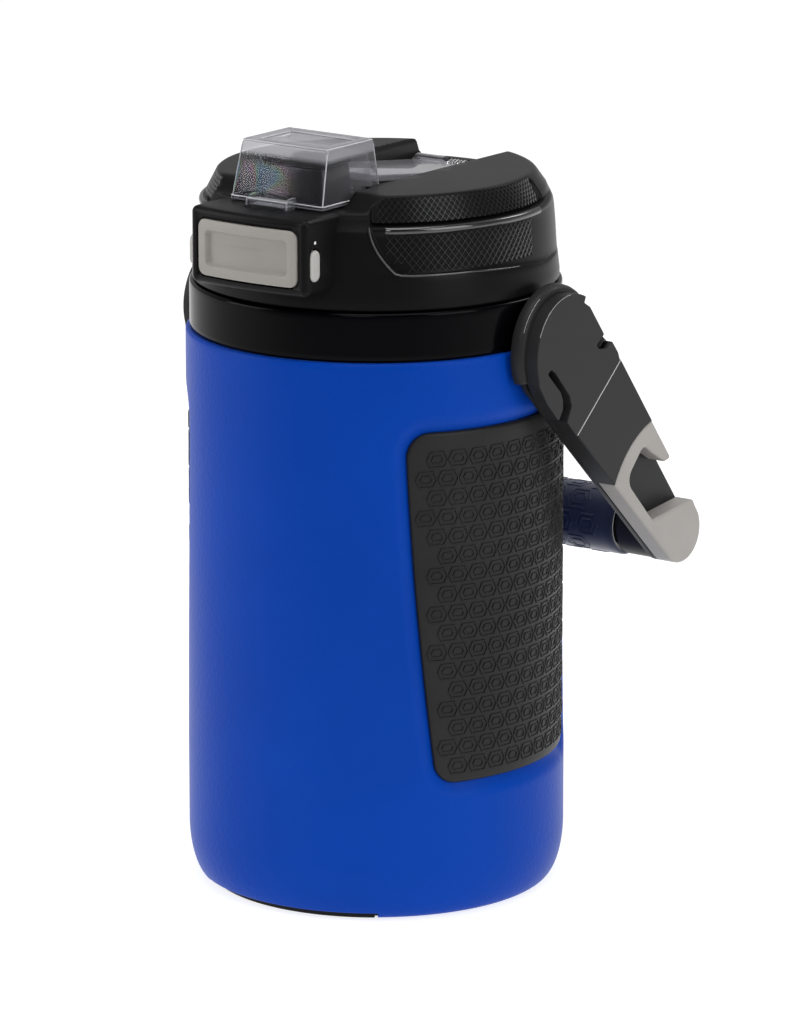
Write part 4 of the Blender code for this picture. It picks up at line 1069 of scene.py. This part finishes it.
SEAL_BLACK = rubber("seal_black", (0.008, 0.008, 0.009), 0.32, 0.08)
rings = [soft_box(10.6, -48.6, -35.4, 3.2, 273.0), soft_box(11, -49, -35, 3.5, 273.4),
         soft_box(11, -49, -35, 3.5, 276.3), soft_box(14.6, -52.6, -31.4, 4.7, 276.3),
         soft_box(15, -53, -31, 5, 276.7), soft_box(15, -53, -31, 5, 279.3),
         soft_box(14.6, -52.6, -31.4, 4.7, 279.75)]
add_object("cap_plug", loft(bmesh.new(), rings), "cap", SEAL_BLACK, "seal_black", "cap_seal",
           sharp=45)


# ---- Flip cap ----------------------------------------------------------------------------------
# One moulding of clear copolyester: a tapered box with a thick dished roof, a long flat arm back
# to the hinge barrels, and a rolled tab in front that snaps behind the button's catch.

CAP_FOOT, CAP_TOP = 263.1, 284.7
HINGE_Y, HINGE_Z = 52.0, 259.5
ARM_THICK, ARM_SLOPE = 2.6, 9.9 / 78.0
GREY_PLASTIC = (0.36, 0.36, 0.385)
BLACK, WHITE = (0.0, 0.0, 0.0), (1.0, 1.0, 1.0)

CAP_CLEAR, tree, shader, where = plain_material("cap_clear")
shader.inputs["Specular IOR Level"].default_value = 0.8
stretched = add_node(tree, "Mapping", Scale=(1.0, 1.0, 0.45))
ripple = add_node(tree, "TexNoise", Scale=60.0, Detail=1.5, Distortion=0.9)
rub = add_node(tree, "MapRange", To_Min=0.03, To_Max=0.10)
strain = add_ramp(tree, (0.40, GREY_PLASTIC), (0.45, (0.50, 0.16, 0.55)), (0.49, (0.60, 0.36, 0.12)),
                  (0.53, (0.14, 0.55, 0.22)), (0.58, (0.12, 0.34, 0.66)), (0.66, GREY_PLASTIC))
split = add_node(tree, "SeparateXYZ")
connect(tree, (where, "Object", stretched, "Vector"), (stretched, "Vector", ripple, "Vector"),
        (ripple, "Fac", rub, "Value"), (rub, "Result", shader, "Roughness"),
        (ripple, "Fac", strain, "Fac"), (where, "Object", split, "Vector"))


def share_along(axis, low, high, most=1.0):
    """From 0 at low to most at high, in metres along an axis of the piece."""
    made = add_node(tree, "MapRange", From_Min=low, From_Max=high, To_Max=most)
    connect(tree, (split, axis, made, "Value"))
    return made, "Result"


def work_out(operation, *sources):
    """A maths node whose inputs are (node, output) pairs or numbers."""
    made = add_node(tree, "Math")
    made.operation = operation
    for entry, source in enumerate(sources):
        if isinstance(source, float):
            made.inputs[entry].default_value = source
        else:
            connect(tree, (*source, made, entry))
    return made, "Value"


below_roof = add_ramp(tree, (0.17, BLACK), (0.24, WHITE), (0.60, WHITE), (0.74, BLACK))
connect(tree, (*share_along("Z", 0.262, 0.284), below_roof, "Fac"))
front_left = work_out("MULTIPLY", share_along("X", 0.008, -0.001), share_along("Y", -0.045, -0.055))
strained = work_out("MULTIPLY", (below_roof, "Color"), front_left)
body_colour = add_node(tree, "Mix")
body_colour.data_type = "RGBA"
body_colour.inputs["A"].default_value = (*GREY_PLASTIC, 1.0)
# Painted reflection: the cap turns to opaque grey where it is seen edge-on; the roof's top is made
# greyer and less clear too.
slant = add_node(tree, "LayerWeight", Blend=0.5)
edge_on_reflection = add_node(tree, "MapRange", From_Min=0.28, From_Max=0.82, To_Min=0.03, To_Max=0.88)
edge_on_reflection.interpolation_type = "SMOOTHSTEP"
grey_roof_and_edge_reflection = work_out("MAXIMUM", (edge_on_reflection, "Result"), share_along("Z", 0.2786, 0.2806, 0.62))
tinted_share = work_out("MULTIPLY_ADD", strained, 0.11, grey_roof_and_edge_reflection)
see_through = add_node(tree, "BsdfTransparent", Color=(0.93, 0.93, 0.945, 1.0))
mixed = add_node(tree, "MixShader")
connect(tree, (*strained, body_colour, "Factor"), (strain, "Color", body_colour, "B"),
        (body_colour, "Result", shader, "Base Color"), (slant, "Facing", edge_on_reflection, "Value"),
        (*tinted_share, mixed, "Fac"), (see_through, "BSDF", mixed, 1), (shader, "BSDF", mixed, 2),
        (mixed, "Shader", tree.nodes["Material Output"], "Surface"))


def cap_ring(inward, height, corner=1.6):
    """A level ring of the cap's tapered box, moved in by inward."""
    share = (height - CAP_FOOT) / (CAP_TOP - CAP_FOOT)
    half_width = 21.0 - 1.3 * share - inward
    front = -60.3 + 5.2 * share + inward
    back = -24.0 - 2.8 * share - inward
    return soft_box(half_width, front, back, max(0.6, corner - inward), height)


outer = [cap_ring(0.15, 263.1), cap_ring(0.0, 263.4), cap_ring(0.0, 264.4), cap_ring(0.35, 264.8)]
outer += [cap_ring(0.35, 265.5 + 15.5 * step / 4) for step in range(5)]
for step in range(7):
    turn = math.radians(15 * step)
    outer.append(cap_ring(2.0 - 1.65 * math.cos(turn), 282.9 + 1.8 * math.sin(turn)))
outer += [cap_ring(3.6, 284.6), cap_ring(4.6, 284.2), cap_ring(5.6, 283.1), cap_ring(6.6, 282.4),
          cap_ring(9.0, 282.2), cap_ring(12.5, 282.15)]
inner = [cap_ring(12.5, 280.1), cap_ring(9.0, 280.1), cap_ring(4.4, 280.1), cap_ring(3.0, 279.6),
         cap_ring(2.35, 278.2)]
inner += [cap_ring(2.3, 265.5 + 12.0 * step / 4) for step in range(3, -1, -1)]
inner += [cap_ring(2.2, 263.1)]
cap = loft(bmesh.new(), inner + outer)


def arm_section(y, half):
    """A rounded rectangle across the cap's arm, which slopes down to the hinge."""
    middle = HINGE_Z + (HINGE_Y - y) * ARM_SLOPE
    low, high = middle - ARM_THICK / 2, middle + ARM_THICK / 2
    corners = [(-half, low, 0.6), (half, low, 0.6), (half, high, 0.9), (-half, high, 0.9)]
    return [(a, y, b) for a, b in rounded(corners, 4)]


loft(cap, [arm_section(y, 18.0) for y in (-26.4, -20, -10, 0, 10, 20, 30, 40, 46.8)])
for side in (1, -1):
    loft(cap, [[(a + side * 12.1, y, b) for a, y, b in arm_section(y, 5.9)] for y in (46.0, 50.5)])
    barrel = arc((HINGE_Y, HINGE_Z), 3.4, 0, 350, 36)
    bore = arc((HINGE_Y, HINGE_Z), 1.9, 0, 350, 36)
    low, high = side * 6.4, side * 19.0
    loft(cap, [[(x, a, b) for a, b in line] for x, line in
               ((low, barrel), (high, barrel), (high, bore), (low, bore))], True)
rib = [(-23.8, 268.4), (-23.8, 274.0), (-22.6, 274.4), (-19.0, 271.2), (-17.0, 269.2), (-17.0, 268.0)]
for x in (-13.0, 13.0):
    slab(rib, [(0, x - 0.9), (0, x + 0.9)], from_side, solid=cap)
tab = rounded([(-59.4, 263.4, 0.3), (-59.4, 265.2, 0.5), (-65.7, 265.0, 0.9), (-66.4, 263.6, 0.5),
               (-66.3, 255.9, 0.4), (-64.2, 255.9, 0.3), (-64.2, 257.2, 0.3), (-64.9, 258.0, 0.3),
               (-64.9, 263.3, 0.5)], 4)
slab(tab, [(0.3, -8.6), (0, -8.3), (0, 8.3), (0.3, 8.6)], from_side, solid=cap)
slab(arc((-65.2, 264.4), 1.15, 0, 340, 18), [(0.2, -9.0), (0.0, -8.8), (0.0, 8.8), (0.2, 9.0)],
     from_side, solid=cap)
cheek = rounded([(-59.6, 263.3, 0.4), (-59.6, 266.8, 1.2), (-64.6, 266.4, 1.6), (-66.5, 263.4, 0.5),
                 (-66.4, 260.2, 0.4), (-64.9, 260.2, 0.3)], 5)
for x in (-8.5, 8.5):
    slab(cheek, [(0.2, x - 0.6), (0, x - 0.4), (0, x + 0.4), (0.2, x + 0.6)], from_side, solid=cap)
add_object("flip_cap", cap, "cap", CAP_CLEAR, "cap_clear", "spout_cap", sharp=40)


# ---- Cap edges ---------------------------------------------------------------------------------
# Light-grey glossy beads on the cap's edges, painted highlights where the clear plastic catches the
# light: round its foot, the roof's outer and inner rims, the four upright corners and the tab, with
# two painted glints at the tab's ends.

CAP_HIGHLIGHT_GREY = moulded("cap_painted_highlight", (0.44, 0.44, 0.47), 0.10, 0.02, 900.0, 0.5, 0.8)
CORNER_HEIGHTS = (264.4, 268.0, 273.0, 278.0, 282.6)
UP = Vector((0.0, 0.0, 1.0))


def rim_highlight_rings(inward, height):
    """The rings of a bead, 0.3 thick, all round the box."""
    loop = cap_ring(inward, height)
    rings = []
    for index, here in enumerate(loop):
        ahead = (Vector(loop[(index + 1) % len(loop)]) - Vector(loop[index - 1])).normalized()
        outward = Vector((ahead.y, -ahead.x, 0.0))
        rings.append([tuple(Vector(here) + 0.3 * (math.cos(a) * outward + math.sin(a) * UP))
                      for a in (math.tau * step / 8 for step in range(8))])
    return rings


edges = bmesh.new()
for inward, height in ((0.1, 264.3), (0.75, 284.0), (4.9, 283.9)):
    loft(edges, rim_highlight_rings(inward, height), True)
corner_spots = len(cap_ring(0.35, 265.0)) // 4
for corner in range(4):
    middle = corner * corner_spots + corner_spots // 2
    bead(edges, [cap_ring(0.45, height)[middle] for height in CORNER_HEIGHTS], 0.26)
# A painted highlight along the tab's roll, and painted glints as short upright beads at its ends.
bead(edges, [(-8.8 + 17.6 * step / 6, -65.3, 265.3) for step in range(7)], 0.32)
for x in (-8.9, 8.9):
    bead(edges, [(x, -65.6, 262.9), (x, -65.6, 264.4), (x, -65.4, 265.9)], 0.34)
add_object("cap_edge_highlights", edges, "cap", CAP_HIGHLIGHT_GREY, "cap_clear", sharp=80)


# ---- Inner works -------------------------------------------------------------------------------
# The pieces that only show when the jug is opened keep the shapes they are made in: white food
# liner, foamed-in insulation, silicone ring, threaded lid insert, steel pins, screws and springs.

def steel(name):
    """Drawn stainless wire and turned pins, their polish faintly uneven."""
    made, tree, shader, where = plain_material(name)
    shader.inputs["Metallic"].default_value = 1.0
    shader.inputs["Base Color"].default_value = (0.62, 0.62, 0.63, 1.0)
    dull = add_node(tree, "MapRange", To_Min=0.2, To_Max=0.42)
    connect(tree, (add_noise(tree, where, 900.0), "Fac", dull, "Value"),
            (dull, "Result", shader, "Roughness"))
    return made


STEEL = steel("drawn_steel")
INNER_LOOKS = {
    "foam_insulation": rubber("foam_cream", (0.72, 0.64, 0.45), 0.86, 0.6),
    "inner_liner": moulded("liner_white", (0.78, 0.78, 0.76), 0.38, 0.08, 1200.0),
    "lid_gasket": rubber("silicone_ring", (0.66, 0.66, 0.65), 0.5, 0.1),
    "lid_insert": moulded("insert_black", (0.012, 0.012, 0.013), 0.38, 0.08, 1400.0),
    "handle_bar": moulded("rod_black", (0.02, 0.02, 0.021), 0.45, 0.1, 1800.0),
    "cap_hinge_pin": STEEL, "cap_spring": STEEL, "button_spring": STEEL,
    "pivot_screw_right": STEEL, "pivot_screw_left": STEEL,
    "bar_screw_right": STEEL, "bar_screw_left": STEEL,
}
for node, look in INNER_LOOKS.items():
    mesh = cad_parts[node].data
    mesh.materials.clear()
    mesh.materials.append(look)
